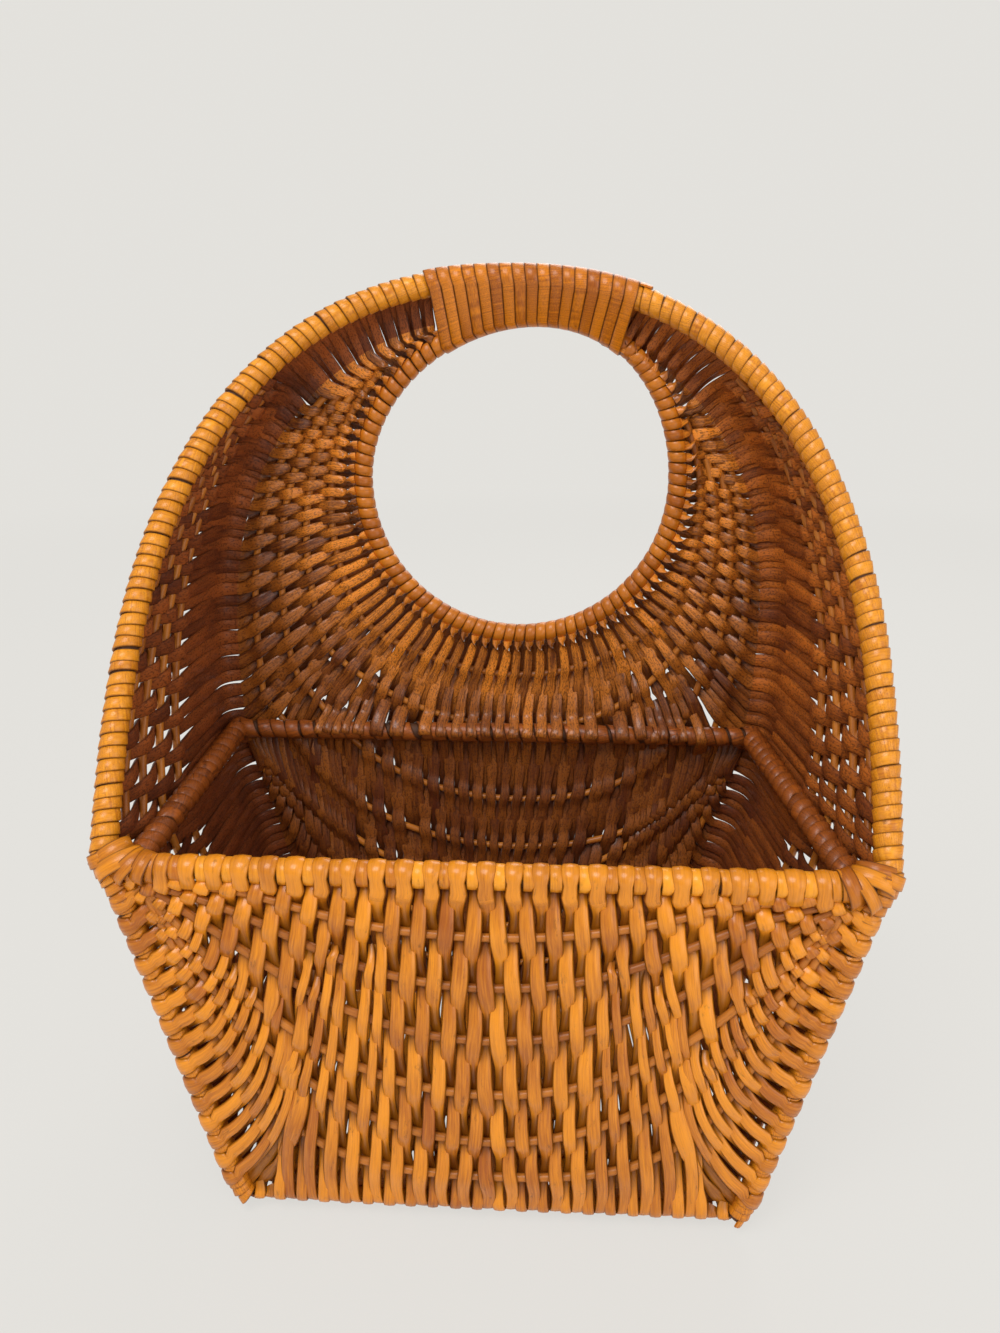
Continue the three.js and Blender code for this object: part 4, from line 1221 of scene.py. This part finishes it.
def wrap_tree():
    """Winds one strip of cane closely round a rod, over a core whose dark colour is painted shade between the
    turns.
    """
    tree, given, out = new_tree("Cane Wrapping", [
        ("Rod Diameter", "Float", 0.012),
        ("Pitch", "Float", 0.0057),
        ("Gap", "Float", 0.0003),
        ("Cane Thickness", "Float", 0.0012),
        ("Overlap", "Float", 0.1),
        ("Unevenness", "Float", 0.06),
        ("Roundness", "Float", 0.4),
        ("Steps", "Int", 20),
        ("Seed", "Float", 1.0),
        ("Material", "Material", None),
        ("Core Material", "Material", None),
    ])
    pitch, thickness, uneven = given["Pitch"], given["Cane Thickness"], given["Unevenness"]
    line = flow(tree, "GeometryNodeMeshToCurve", {"Mesh": given["Geometry"]})
    fine = resampled(line, pitch / given["Steps"])
    marked = store(fine, "turns", flow(tree, "GeometryNodeSplineParameter", output="Length") / pitch)
    marked = store(marked, "way", flow(tree, "GeometryNodeInputTangent"), "FLOAT_VECTOR")
    marked = store(marked, "lead", flow(tree, "GeometryNodeInputNormal"), "FLOAT_VECTOR")
    turns = named(tree, "turns")
    way, lead = named(tree, "way", "FLOAT_VECTOR"), named(tree, "lead", "FLOAT_VECTOR")
    cross = way.vector("CROSS_PRODUCT", lead)
    angle = turns * (2 * math.pi)
    across = cross.vector("SCALE", angle.maths("SINE"))
    swing = lead.vector("SCALE", angle.maths("COSINE")).vector("ADD", across)
    noise = flow(tree, "ShaderNodeTexNoise", {"W": turns * 0.8 + given["Seed"], "Scale": 1.0, "Detail": 1.0},
                 noise_dimensions="1D")
    slip = noise - 0.5
    radius = given["Rod Diameter"] * 0.5 - thickness * 0.5
    drift = way.vector("SCALE", slip * (pitch * (uneven * 4.0)))
    facing = swing.vector("ADD", way.vector("SCALE", given["Overlap"]))
    marked = store(marked, "facing", facing, "FLOAT_VECTOR")
    marked = store(marked, "run", turns * (radius * (2 * math.pi / MM)))
    marked = store(marked, "shade", noise)
    wound = flow(tree, "GeometryNodeSetPosition",
                 {"Geometry": marked, "Offset": swing.vector("SCALE", radius).vector("ADD", drift)})
    profile = cane_profile(tree, pitch - given["Gap"], thickness, given["Roundness"], underside=1.0)
    strip = painted(strip_along(wound, profile, slip * uneven + 1.0), given["Material"])
    circle = flow(tree, "GeometryNodeCurvePrimitiveCircle",
                  {"Resolution": 12, "Radius": radius - thickness * 0.2})
    core = painted(sweep(resampled(line, 0.006), circle), given["Core Material"])
    both = put(tree, "GeometryNodeJoinGeometry")
    for part in (strip, core):
        tree.links.new(part.socket, both.inputs[0])
    return finish_tree(Flow(tree, both.outputs[0]), out)


# Pieces

def edge_mesh(name, strands):
    """A mesh of edges along the strands, with what the node trees read from it."""
    points = np.vstack([one["points"] for one in strands]) - [0, 0, HANG_HEIGHT]
    edges = []
    first = 0
    for one in strands:
        last = first + len(one["points"]) - 1
        edges.append(np.stack([np.arange(first, last), np.arange(first + 1, last + 1)], axis=1))
        if one.get("closed"):
            edges.append([[last, first]])
        first = last + 1
    mesh = bpy.data.meshes.new(name)
    mesh.from_pydata((points * MM).tolist(), np.vstack(edges).tolist(), [])
    for label in READ_BY_TREES:
        if label in strands[0]:
            kind, field = ("FLOAT_VECTOR", "vector") if label == "facing" else ("FLOAT", "value")
            values = np.concatenate([one[label] for one in strands])
            attribute = mesh.attributes.new(label, kind, "POINT")
            attribute.data.foreach_set(field, np.ascontiguousarray(values, dtype=np.float32).ravel())
    return mesh


def grow(name, mesh, tree, **inputs):
    """Runs a node tree on a mesh of edges and keeps the result as a plain piece."""
    piece = bpy.data.objects.new(name, mesh)
    bpy.context.scene.collection.objects.link(piece)
    modifier = piece.modifiers.new("Cane", "NODES")
    modifier.node_group = tree
    labels = {item.name: item.identifier for item in tree.interface.items_tree if item.in_out == "INPUT"}
    for key, value in inputs.items():
        modifier[labels[in_words(key)]] = value
    evaluated = piece.evaluated_get(bpy.context.evaluated_depsgraph_get())
    made = bpy.data.meshes.new_from_object(evaluated)
    piece.modifiers.remove(modifier)
    piece.data = made
    made.name = name
    if not made.polygons:
        raise RuntimeError(name + " came out empty")
    return piece


def in_words(key):
    """The name of a tree's input, from the word that stands for it in the script."""
    return key.replace("_", " ").title()


def settle(piece, slot, *nodes):
    """Puts a finished piece on the basket and hides the solids that it replaces. Its slot is not used."""
    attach(piece, "root")
    if nodes:
        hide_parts(*nodes)


def plait(name, strands, finish, width, thickness, roundness, underside):
    """A piece of flat or round strips, one along each strand."""
    return grow(name, edge_mesh(name, strands), tree_for("strip"), cane_width=width * MM,
                cane_thickness=thickness * MM, roundness=roundness, underside=underside,
                material=material_for(finish))


def round_rods(name, strands, finish, diameter):
    return plait(name, strands, finish, diameter, diameter, roundness=1.0, underside=1.0)


def wrapped(name, line, finish, diameter, pitch, thickness=1.2, gap=0.3, overlap=0.1, uneven=0.06, seed=1.0):
    """A rod's cane wrapping."""
    lines = [{"points": even(line, 3.0)}]
    return grow(name, edge_mesh(name, lines), tree_for("wrap"), rod_diameter=diameter * MM, pitch=pitch * MM,
                gap=gap * MM, cane_thickness=thickness * MM, overlap=overlap, unevenness=uneven, seed=seed,
                material=material_for(finish), core_material=material_for("shadow"))


# Materials

# How strong each feature of a finish is where it names none of its own
# Darkening low in the pocket, far from the ring, along strip edges and where strips dip is painted shade.
GRAIN = dict(streaks=0.7, pores=0.0, joints=1.0, worn_edge=0.8, gloss=0.3, shelter=0.0, away=0.0, recess=0.0)

# Each finish: its light and its deep colour, how much varnish it has, and its own features
FINISHES = {
    "honey": ("honey", "honey", 0.3, dict(worn_edge=0.75)),
    "handle": ("handle", "handle", 0.3, {}),
    "ring": ("ring", "honey", 0.3, {}),
    # The rim finish is lighter than the front's, partly the cane's own colour and partly painted light on the
    # upward-facing rim and hoop.
    "rim": ("rim", "rim", 0.3, {}),
    "rib": ("rib", "rib", 0.2, dict(streaks=0.6, joints=0.8, worn_edge=0.0, gloss=0.36)),
    "brown": ("brown", "brown", 0.25, dict(joints=0.8, worn_edge=1.0, gloss=0.34)),
    "front": ("honey", "honey", 0.42, dict(streaks=0.8, pores=0.5, worn_edge=0.6, gloss=0.28, recess=0.5)),
    "inside": ("inside", "inside", 0.42, dict(streaks=0.9, pores=1.0, joints=0.9, worn_edge=0.65, gloss=0.27,
                                              shelter=0.74, away=0.62, recess=0.66)),
    # The right side's colours are lighter than the left's as painted light: the right wall is shown as more
    # lit.
    "side": ("side", "side", 0.12, dict(pores=1.0, joints=0.8, worn_edge=0.55, gloss=0.4, shelter=0.35,
                                        recess=0.4)),
    "right": ("right", "right", 0.14, dict(pores=1.0, joints=0.8, worn_edge=0.55, gloss=0.36, shelter=0.5,
                                           recess=0.4)),
}

# Where the pocket's cane is darkened as painted shade: heights, and distances from the ring's middle, in
# metres
SHADE_BELOW = (-0.185, -0.245)
SHADE_AWAY = (0.098, 0.158)

VARNISH_ROUGHNESS = 0.2
CANE_SPECULAR = 0.28
CORE_ROUGHNESS = 0.7


def grain_group():
    """Cane's colour, roughness and relief: streaks, joints, painted shade along the edges, in recesses and in
    the pocket, and pores on the split side.
    """
    group = bpy.data.node_groups.new("Cane Grain", "ShaderNodeTree")
    face = group.interface
    for label in ("Light", "Deep", "Dark", "Pocket Shade"):
        face.new_socket(label, in_out="INPUT", socket_type="NodeSocketColor")
    for key, default in GRAIN.items():
        face.new_socket(in_words(key), in_out="INPUT", socket_type="NodeSocketFloat").default_value = default
    for label, kind in (("Color", "Color"), ("Roughness", "Float"), ("Height", "Float")):
        face.new_socket(label, in_out="OUTPUT", socket_type="NodeSocket" + kind)
    given, out = given_to(group), group.nodes.new("NodeGroupOutput")

    def field(name):
        return flow(group, "ShaderNodeAttribute", output="Fac", attribute_name=name)

    def blend(factor, a, b):
        return flow(group, "ShaderNodeMix", {0: factor, 6: a, 7: b}, 2, data_type="RGBA", blend_type="MIX")

    def ramp(value, low, high):
        return flow(group, "ShaderNodeMapRange", {0: value, 1: low, 2: high, 3: 0.0, 4: 1.0},
                    interpolation_type="SMOOTHSTEP")

    def blots(lengthwise, crosswise, scale, detail, roughness):
        """Noise along the strip, different on each strip."""
        place = flow(group, "ShaderNodeCombineXYZ", {"X": run * lengthwise, "Y": side * crosswise, "Z": lot})
        return flow(group, "ShaderNodeTexNoise",
                    {"Vector": place, "Scale": scale, "Detail": detail, "Roughness": roughness})

    run, shade, side, rise, deep = (field(name) for name in ("run", "shade", "side", "rise", "deep"))
    lot = shade * 137.0
    fibres = blots(lengthwise=0.045, crosswise=2.6, scale=1.6, detail=4.0, roughness=0.62)
    patch = flow(group, "ShaderNodeTexNoise", {"W": run * 0.02 + lot, "Scale": 1.0, "Detail": 2.0},
                 noise_dimensions="1D")
    tone = (fibres - 0.5) * (given["Streaks"] * 1.6) + (patch - 0.5) * 0.9 + shade * 0.55
    colour = blend(ramp(tone, -0.25, 0.95), given["Light"], given["Deep"])

    # Painted shade: the pocket's cane is darkened low down and far from the hand ring's middle, where little
    # light falls.
    split = put(group, "ShaderNodeSeparateXYZ", {0: flow(group, "ShaderNodeNewGeometry", output="Position")})
    x, height = Flow(group, split.outputs["X"]), Flow(group, split.outputs["Z"])
    beside, under = x - RING_SHIFT * MM, height - (RING_HEIGHT - HANG_HEIGHT) * MM
    away = (beside * beside + under * under).maths("SQRT")
    low = ramp(height, *SHADE_BELOW) * given["Shelter"]
    colour = blend(low.maths("MAXIMUM", ramp(away, *SHADE_AWAY) * given["Away"]), colour, given["Pocket Shade"])
    # Painted shade where a strip dips behind its neighbours.
    colour = blend(deep * given["Recess"], colour, given["Dark"])

    dark_spots = blots(lengthwise=0.11, crosswise=0.9, scale=1.0, detail=5.0, roughness=0.7)
    joint = ramp(dark_spots, 0.58, 0.74) * given["Joints"]
    colour = blend(joint * 0.5, colour, given["Dark"])
    # Painted shade along each strip's edges, in the crevices between strips and between turns of a wrap.
    edge = ramp(side.maths("ABSOLUTE"), 0.72, 1.02)
    colour = blend(edge * given["Worn Edge"], colour, given["Dark"])
    split_side = ramp(rise, 0.0, -0.25) * given["Pores"]
    pores = blots(lengthwise=0.75, crosswise=4.6, scale=1.0, detail=2.0, roughness=0.5)
    speck = ramp(pores, 0.53, 0.60) * split_side
    colour = blend(speck * 0.55, colour, given["Dark"])

    rough = given["Gloss"] + fibres * 0.18 + split_side * 0.22
    relief = fibres * 0.6 - speck * 0.8 - joint * 0.5
    for label, result in (("Color", colour), ("Roughness", rough), ("Height", relief)):
        group.links.new(result.socket, out.inputs[label])
    return group


MAKERS = {"strip": strip_tree, "wrap": wrap_tree, "grain": grain_group}
TREES = {}
MATERIALS = {}


def tree_for(kind):
    """A node tree, made the first time that it is asked for."""
    if kind not in TREES:
        TREES[kind] = MAKERS[kind]()
    return TREES[kind]


def material_for(finish):
    """The material of a finish, made the first time that it is asked for."""
    if finish not in MATERIALS:
        material = bpy.data.materials.new("cane_" + finish)
        material.use_nodes = True
        shader = material.node_tree.nodes["Principled BSDF"]
        if finish == "shadow":
            dress_core(material.node_tree, shader)
        else:
            dress_cane(material.node_tree, shader, *FINISHES[finish])
        MATERIALS[finish] = material
    return MATERIALS[finish]


def dress_core(tree, shader):
    """The rod that shows between turns of cane, coloured nearly black as painted shade in the gaps."""
    noise = flow(tree, "ShaderNodeTexNoise", {
        "Scale": 400.0, "Detail": 3.0, "Vector": flow(tree, "ShaderNodeTexCoord", output="Object")})
    dark = (*bpy.context.scene.basket_colours.shadow, 1)
    tint = flow(tree, "ShaderNodeMix", {0: noise, 6: dark, 7: (0.10, 0.034, 0.010, 1)}, 2, data_type="RGBA")
    tree.links.new(tint.socket, shader.inputs["Base Color"])
    shader.inputs["Roughness"].default_value = CORE_ROUGHNESS


def dress_cane(tree, shader, light, deep, varnish, features):
    """Varnished cane in two colours."""
    colours = bpy.context.scene.basket_colours
    shades = {"Light": getattr(colours, light + "_light"), "Deep": getattr(colours, deep + "_deep"),
              "Dark": colours.dark, "Pocket Shade": colours.pocket_shade}
    grain = put(tree, "ShaderNodeGroup", node_tree=tree_for("grain"))
    for label, colour in shades.items():
        grain.inputs[label].default_value = (*colour, 1)
    for key, strength in {**GRAIN, **features}.items():
        grain.inputs[in_words(key)].default_value = strength
    tree.links.new(grain.outputs["Color"], shader.inputs["Base Color"])
    tree.links.new(grain.outputs["Roughness"], shader.inputs["Roughness"])
    relief = {"Height": Flow(tree, grain.outputs["Height"]), "Distance": 0.0004, "Strength": 0.5}
    tree.links.new(flow(tree, "ShaderNodeBump", relief).socket, shader.inputs["Normal"])
    shader.inputs["Coat Weight"].default_value = varnish
    shader.inputs["Coat Roughness"].default_value = VARNISH_ROUGHNESS
    shader.inputs["Specular IOR Level"].default_value = CANE_SPECULAR


# Settings

def length_property(name, description, default):
    return bpy.props.FloatProperty(name=name, description=description, default=default, min=0.0,
                                   unit="LENGTH", precision=4)


def colour_property(name, description, default):
    return bpy.props.FloatVectorProperty(name=name, description=description, default=default, size=3, min=0.0,
                                         max=1.0, subtype="COLOR")


class BasketSizes(bpy.types.PropertyGroup):
    front_width: length_property("Front strip", "Width of the front's strips where they pass a rib", 0.0071)
    front_thickness: length_property("Front thickness", "Thickness of the strips in the front", 0.0026)
    back_width: length_property("Back strip", "Width of the strips in the back and sides", 0.0050)
    back_thickness: length_property("Back thickness", "Thickness of the strips in the back and sides", 0.0018)
    wrap_pitch: length_property("Hoop wrap", "Pitch of the cane wound round the hoop", 0.0057)
    edge_pitch: length_property("Edge wrap", "Pitch of the cane wound round the front edges", 0.0041)
    rod_pitch: length_property("Rod wrap", "Pitch of the cane wound round the side rods", 0.0074)
    bar_pitch: length_property("Bar wrap", "Pitch of the cane wound round the back bar", 0.0084)


class BasketColours(bpy.types.PropertyGroup):
    honey_light: colour_property("Honey, light", "Lightest varnished cane skin", (0.86, 0.30, 0.012))
    # The rim and hoop colours are lighter than the front's, partly the cane's own colour and partly painted
    # light on these upward-facing parts.
    honey_deep: colour_property("Honey, deep", "Deepest varnished cane skin", (0.36, 0.088, 0.005))
    rim_light: colour_property("Rim, light", "Lightest cane of the hoop and the rim", (0.95, 0.37, 0.018))
    rim_deep: colour_property("Rim, deep", "Deepest cane of the hoop and the rim", (0.46, 0.12, 0.006))
    ring_light: colour_property("Ring, light", "Lightest cane of the hand ring", (0.62, 0.19, 0.010))
    # The right side's colours are lighter than the left's as painted light: the right wall is shown as more
    # lit.
    side_light: colour_property("Left, light", "Lightest cane of the left side", (0.39, 0.095, 0.015))
    side_deep: colour_property("Left, deep", "Deepest cane of the left side", (0.09, 0.016, 0.004))
    right_light: colour_property("Right, light", "Lightest cane of the right side", (0.62, 0.165, 0.016))
    right_deep: colour_property("Right, deep", "Deepest cane of the right side", (0.13, 0.024, 0.004))
    handle_light: colour_property("Handle, light", "Lightest cane of the handle", (0.78, 0.24, 0.003))
    handle_deep: colour_property("Handle, deep", "Deepest cane of the handle", (0.27, 0.055, 0.002))
    # Painted shade: the colour that cane low in the pocket and far from the ring is darkened towards.
    pocket_shade: colour_property("Pocket Shade", "Cane low in the pocket, where little light has reached it",
                               (0.10, 0.017, 0.004))
    inside_light: colour_property("Inside, light", "Lightest split cane inside", (0.98, 0.31, 0.026))
    inside_deep: colour_property("Inside, deep", "Deepest split cane inside", (0.10, 0.019, 0.004))
    brown_light: colour_property("Brown, light", "Light part of the dark wrapped rods", (0.42, 0.105, 0.012))
    brown_deep: colour_property("Brown, deep", "Deep part of the dark wrapped rods", (0.075, 0.018, 0.006))
    rib_light: colour_property("Rib, light", "Light part of the round ribs", (0.60, 0.20, 0.022))
    rib_deep: colour_property("Rib, deep", "Deep part of the round ribs", (0.28, 0.075, 0.008))
    # The streak colour serves the joints and pores, and the painted shade along edges and in recesses.
    dark: colour_property("Streak", "Joints, pores and shading along the edges", (0.045, 0.011, 0.002))
    # The core's near-black colour is painted shade between turns of cane.
    shadow: colour_property("Core", "Rod seen between turns of cane", (0.05, 0.016, 0.005))
    ground: colour_property("Ground", "Floor and background", (0.77, 0.755, 0.72))


# Stage, in metres. Each lamp has its place, what it is turned to, its size and its watts
FLOOR_HALF = 6
FLOOR_DROP = 0.001
LAMPS = {
    "key": ((-0.45, -1.25, 1.6), (0, -0.08, -0.2), 1.2, 30.0),
    "fill": ((1.3, -1.4, 0.3), (0, -0.08, -0.2), 1.4, 9.0),
    "back": ((0.3, 1.3, 0.9), (0, -0.05, -0.15), 1.2, 12.0),
}
WORLD_COLOUR = (1.0, 0.98, 0.95, 1)
WORLD_STRENGTH = 0.47

# How bright the camera sees the floor: from 0.5 m to 2.6 m away from the basket, and as what share
FLOOR_SEEN = {1: 0.5, 2: 2.6, 3: 0.86, 4: 1.0}


# Operators

class BASKET_OT_hoop(bpy.types.Operator):
    """Wraps the leaning hoop in cane"""
    bl_idname = "basket.hoop"
    bl_label = "Hoop"

    def execute(self, context):
        pitch = context.scene.basket_sizes.wrap_pitch / MM
        hoop = wrapped("hoop_cane", HOOP_LINE, "rim", HOOP_DIAMETER, pitch, gap=-0.5, overlap=0.15,
                       uneven=0.12)
        settle(hoop, "wrapped_cane", "hoop")
        return {"FINISHED"}


class BASKET_OT_rods(bpy.types.Operator):
    """Wraps the side rods, the back bar and the front edges in cane"""
    bl_idname = "basket.rods"
    bl_label = "Rods and edges"

    def execute(self, context):
        sizes = context.scene.basket_sizes
        for word, side in SIDES:
            rod = wrapped(word + "_side_rod_cane", side_rod_line(side), "brown", SIDE_ROD_DIAMETER,
                          sizes.rod_pitch / MM, thickness=2.8, gap=0.8, overlap=0.5, uneven=0.16,
                          seed=3.0 + side)
            settle(rod, "dark_cane", word + "_side_rod")
            edge = wrapped(word + "_edge_cane", edge_line(side)[3:], "honey", EDGE_DIAMETER,
                           sizes.edge_pitch / MM, thickness=1.3, gap=-0.5, overlap=0.22, uneven=0.3,
                           seed=9.0 + side)
            settle(edge, "wrapped_cane", word + "_front_edge")
        bar = wrapped("back_bar_cane", bar_line(), "brown", BACK_BAR_DIAMETER, sizes.bar_pitch / MM,
                      thickness=1.3, uneven=0.2, seed=5.0)
        settle(bar, "dark_cane", "back_bar")
        return {"FINISHED"}


class BASKET_OT_rim(bpy.types.Operator):
    """Puts the short wraps on the rim"""
    bl_idname = "basket.rim"
    bl_label = "Rim"

    def execute(self, context):
        core = strand(even(rim_line() * [0.965, 1, 1], 4.0), UP, 1.0)
        settle(round_rods("rim_core", [core], "shadow", RIM_DIAMETER - CORE_INSET), "wrapped_cane")
        wraps = plait("rim_wraps", rim_wraps(), "rim", width=FRONT_PITCH - 0.2, thickness=1.4, roundness=0.5,
                      underside=1.0)
        settle(wraps, "wrapped_cane", "front_rim")
        return {"FINISHED"}


class BASKET_OT_ribs(bpy.types.Operator):
    """Makes the round ribs that the strips are woven on"""
    bl_idname = "basket.ribs"
    bl_label = "Ribs"

    def execute(self, context):
        for family, lines in RIB_LINES.items():
            aside = (0.03, 0.6, 0.8) if family == "cradle" else TOWARDS_HOLE
            strands = [strand(even(line, 3.0), aside, 1.0) for line in lines]
            nodes = [family + "_rib_" + str(i + 1) for i in range(len(lines))]
            settle(round_rods(family + "_ribs", strands, "rib", RIB_DIAMETER), "rib", *nodes)
        return {"FINISHED"}


class BASKET_OT_front(bpy.types.Operator):
    """Weaves the front and the base, from the rim down and under"""
    bl_idname = "basket.front"
    bl_label = "Front and base"

    def execute(self, context):
        sizes = context.scene.basket_sizes
        front = plait("front_weave", front_strands(), "front", width=sizes.front_width / MM,
                      thickness=sizes.front_thickness / MM, roundness=0.75, underside=0.45)
        settle(front, "woven_front", "front_fill", "base_fill")
        return {"FINISHED"}


class BASKET_OT_back(bpy.types.Operator):
    """Weaves the back and both sides, from the hand ring outwards"""
    bl_idname = "basket.back"
    bl_label = "Back and sides"

    def execute(self, context):
        sizes = context.scene.basket_sizes
        section = dict(width=sizes.back_width / MM, thickness=sizes.back_thickness / MM, roundness=0.6,
                       underside=0.5)
        angles = np.linspace(0, 2 * np.pi, 120, endpoint=False)
        ring = strand([ring_point(a) for a in angles], TOWARDS_HOLE, 1.0, closed=True)
        settle(round_rods("hand_ring_core", [ring], "shadow", RING_DIAMETER - CORE_INSET), "wrapped_cane",
               "hand_ring")
        back, sides, loops = back_strands()
        settle(plait("hand_ring_cane", loops, "ring", **section), "wrapped_cane")
        low, low_sides = corner_strands()
        settle(plait("back_weave", back, "inside", **section), "woven_inside", "back_fill")
        settle(plait("back_corner_weave", low, "inside", **section), "woven_inside")
        # The right side's lighter finish is painted light.
        for (word, side), finish in zip(SIDES, ("side", "right")):
            weave = plait(word + "_side_weave", sides[side] + low_sides[side], finish, **section)
            settle(weave, "woven_inside", word + "_side_fill")
        return {"FINISHED"}


class BASKET_OT_bindings(bpy.types.Operator):
    """Binds the handle and both ends of the rim with flat cane"""
    bl_idname = "basket.bindings"
    bl_label = "Bindings"

    def execute(self, context):
        flat = dict(width=FLAT_CANE, thickness=CANE_THICKNESS, roundness=0.3, underside=0.6)
        settle(plait("handle_cane", [handle_strand()], "handle", **flat), "binding_cane", "handle_binding")
        for word, side in SIDES:
            settle(plait(word + "_corner_cane", [corner_strand(side)], "honey", **flat), "binding_cane",
                   word + "_corner_binding")
            straps = plait(word + "_corner_straps", corner_straps(side), "honey", width=7.4, thickness=1.2,
                           roundness=0.15, underside=0.8)
            settle(straps, "binding_cane")
            cap = plait(word + "_foot_cap", foot_cap(side), "honey", width=6.4, thickness=1.3, roundness=0.3,
                        underside=0.7)
            settle(cap, "binding_cane")
        return {"FINISHED"}


class BASKET_OT_stage(bpy.types.Operator):
    """Sets up the floor, the lamps, the background and the camera"""
    bl_idname = "basket.stage"
    bl_label = "Stage"

    def execute(self, context):
        scene = context.scene
        ground = scene.basket_colours.ground
        lay_floor(scene, ground)
        for name, lamp in LAMPS.items():
            add_light(scene, name, *lamp)
        set_world(scene, ground)
        add_camera(scene)
        scene.view_settings.view_transform = "Standard"
        return {"FINISHED"}


def lay_floor(scene, ground):
    mesh = bpy.data.meshes.new("floor")
    low = -HANG_HEIGHT * MM - FLOOR_DROP
    corners = [(x * FLOOR_HALF, y * FLOOR_HALF, low) for x, y in ((-1, -1), (1, -1), (1, 1), (-1, 1))]
    mesh.from_pydata(corners, [], [(0, 1, 2, 3)])
    mesh.materials.append(floor_material(ground))
    floor = bpy.data.objects.new("floor", mesh)
    scene.collection.objects.link(floor)


def floor_material(ground):
    """Pale paint, which the camera sees as bright as the background, but a little darker near the basket."""
    material = bpy.data.materials.new("floor_paint")
    material.use_nodes = True
    tree = material.node_tree
    shader = tree.nodes["Principled BSDF"]
    place = flow(tree, "ShaderNodeTexCoord", output="Object")
    noise = flow(tree, "ShaderNodeTexNoise", {"Vector": place, "Scale": 3.0, "Detail": 2.0})
    paler = (*(c * 1.03 for c in ground), 1)
    tint = flow(tree, "ShaderNodeMix", {0: noise, 6: (*ground, 1), 7: paler}, 2, data_type="RGBA")
    tree.links.new(tint.socket, shader.inputs["Base Color"])
    shader.inputs["Roughness"].default_value = 0.9
    away = flow(tree, "ShaderNodeVectorMath", {0: place}, "Value", operation="LENGTH")
    share = flow(tree, "ShaderNodeMapRange", {0: away, **FLOOR_SEEN})
    seen = flow(tree, "ShaderNodeLightPath", output="Is Camera Ray") * share
    glow = flow(tree, "ShaderNodeEmission", {"Color": (*ground, 1)})
    show_camera(tree, seen, Flow(tree, shader.outputs[0]), glow, "Material Output")
    return material


def show_camera(tree, seen, lit, shown, end):
    """Ends a material or the world in one shader for the camera and another for the light."""
    both = flow(tree, "ShaderNodeMixShader", {0: seen, 1: lit, 2: shown})
    tree.links.new(both.socket, tree.nodes[end].inputs["Surface"])


def add_light(scene, name, place, target, size, power):
    lamp = bpy.data.lights.new(name, "AREA")
    lamp.size = size
    lamp.energy = power
    holder = bpy.data.objects.new(name, lamp)
    holder.location = place
    holder.rotation_euler = (Vector(target) - Vector(place)).to_track_quat("-Z", "Y").to_euler()
    scene.collection.objects.link(holder)


def set_world(scene, ground):
    world = bpy.data.worlds.new("studio")
    scene.world = world
    world.use_nodes = True
    tree = world.node_tree
    backing = tree.nodes["Background"]
    backing.inputs["Color"].default_value = WORLD_COLOUR
    backing.inputs["Strength"].default_value = WORLD_STRENGTH
    shown = flow(tree, "ShaderNodeBackground", {"Color": (*ground, 1), "Strength": 1.0})
    seen = flow(tree, "ShaderNodeLightPath", output="Is Camera Ray")
    show_camera(tree, seen, Flow(tree, backing.outputs[0]), shown, "World Output")


def add_camera(scene):
    """A camera at the photograph's place, from its turn, tilt and roll."""
    yaw, pitch, roll = (math.radians(a) for a in (CAMERA_YAW, CAMERA_PITCH, CAMERA_ROLL))
    forward = Vector((math.sin(yaw) * math.cos(pitch), math.cos(yaw) * math.cos(pitch), -math.sin(pitch)))
    level = Vector((math.cos(yaw), -math.sin(yaw), 0))
    above = level.cross(forward)
    right = level * math.cos(roll) + above * math.sin(roll)
    up = above * math.cos(roll) - level * math.sin(roll)
    lens = bpy.data.cameras.new("photo_camera")
    lens.lens = CAMERA_LENS
    lens.sensor_width = CAMERA_SENSOR
    lens.clip_start = 0.01
    camera = bpy.data.objects.new("photo_camera", lens)
    turn = Matrix((right, up, -forward)).transposed().to_4x4()
    camera.matrix_world = Matrix.Translation(Vector(CAMERA_PLACE) * MM) @ turn
    scene.collection.objects.link(camera)
    scene.camera = camera


STEPS = (BASKET_OT_hoop, BASKET_OT_rods, BASKET_OT_rim, BASKET_OT_ribs, BASKET_OT_front, BASKET_OT_back,
         BASKET_OT_bindings, BASKET_OT_stage)


class BASKET_PT_panel(bpy.types.Panel):
    """Lists the basket's pieces, sizes and colours"""
    bl_idname = "BASKET_PT_panel"
    bl_label = "Wall Basket"
    bl_space_type = "VIEW_3D"
    bl_region_type = "UI"
    bl_category = "Basket"

    def draw(self, context):
        column = self.layout.column()
        for step in STEPS:
            column.operator(step.bl_idname)
        for group in (context.scene.basket_sizes, context.scene.basket_colours):
            for name in group.bl_rna.properties.keys():
                if name not in ("rna_type", "name"):
                    column.prop(group, name)


CLASSES = (BasketSizes, BasketColours, *STEPS, BASKET_PT_panel)


def register():
    for one in CLASSES:
        bpy.utils.register_class(one)
    bpy.types.Scene.basket_sizes = bpy.props.PointerProperty(type=BasketSizes)
    bpy.types.Scene.basket_colours = bpy.props.PointerProperty(type=BasketColours)


def unregister():
    del bpy.types.Scene.basket_sizes
    del bpy.types.Scene.basket_colours
    for one in reversed(CLASSES):
        bpy.utils.unregister_class(one)


def main():
    register()
    for step in STEPS:
        getattr(bpy.ops.basket, step.bl_idname.partition(".")[2])()


if __name__ == "__main__":
    main()
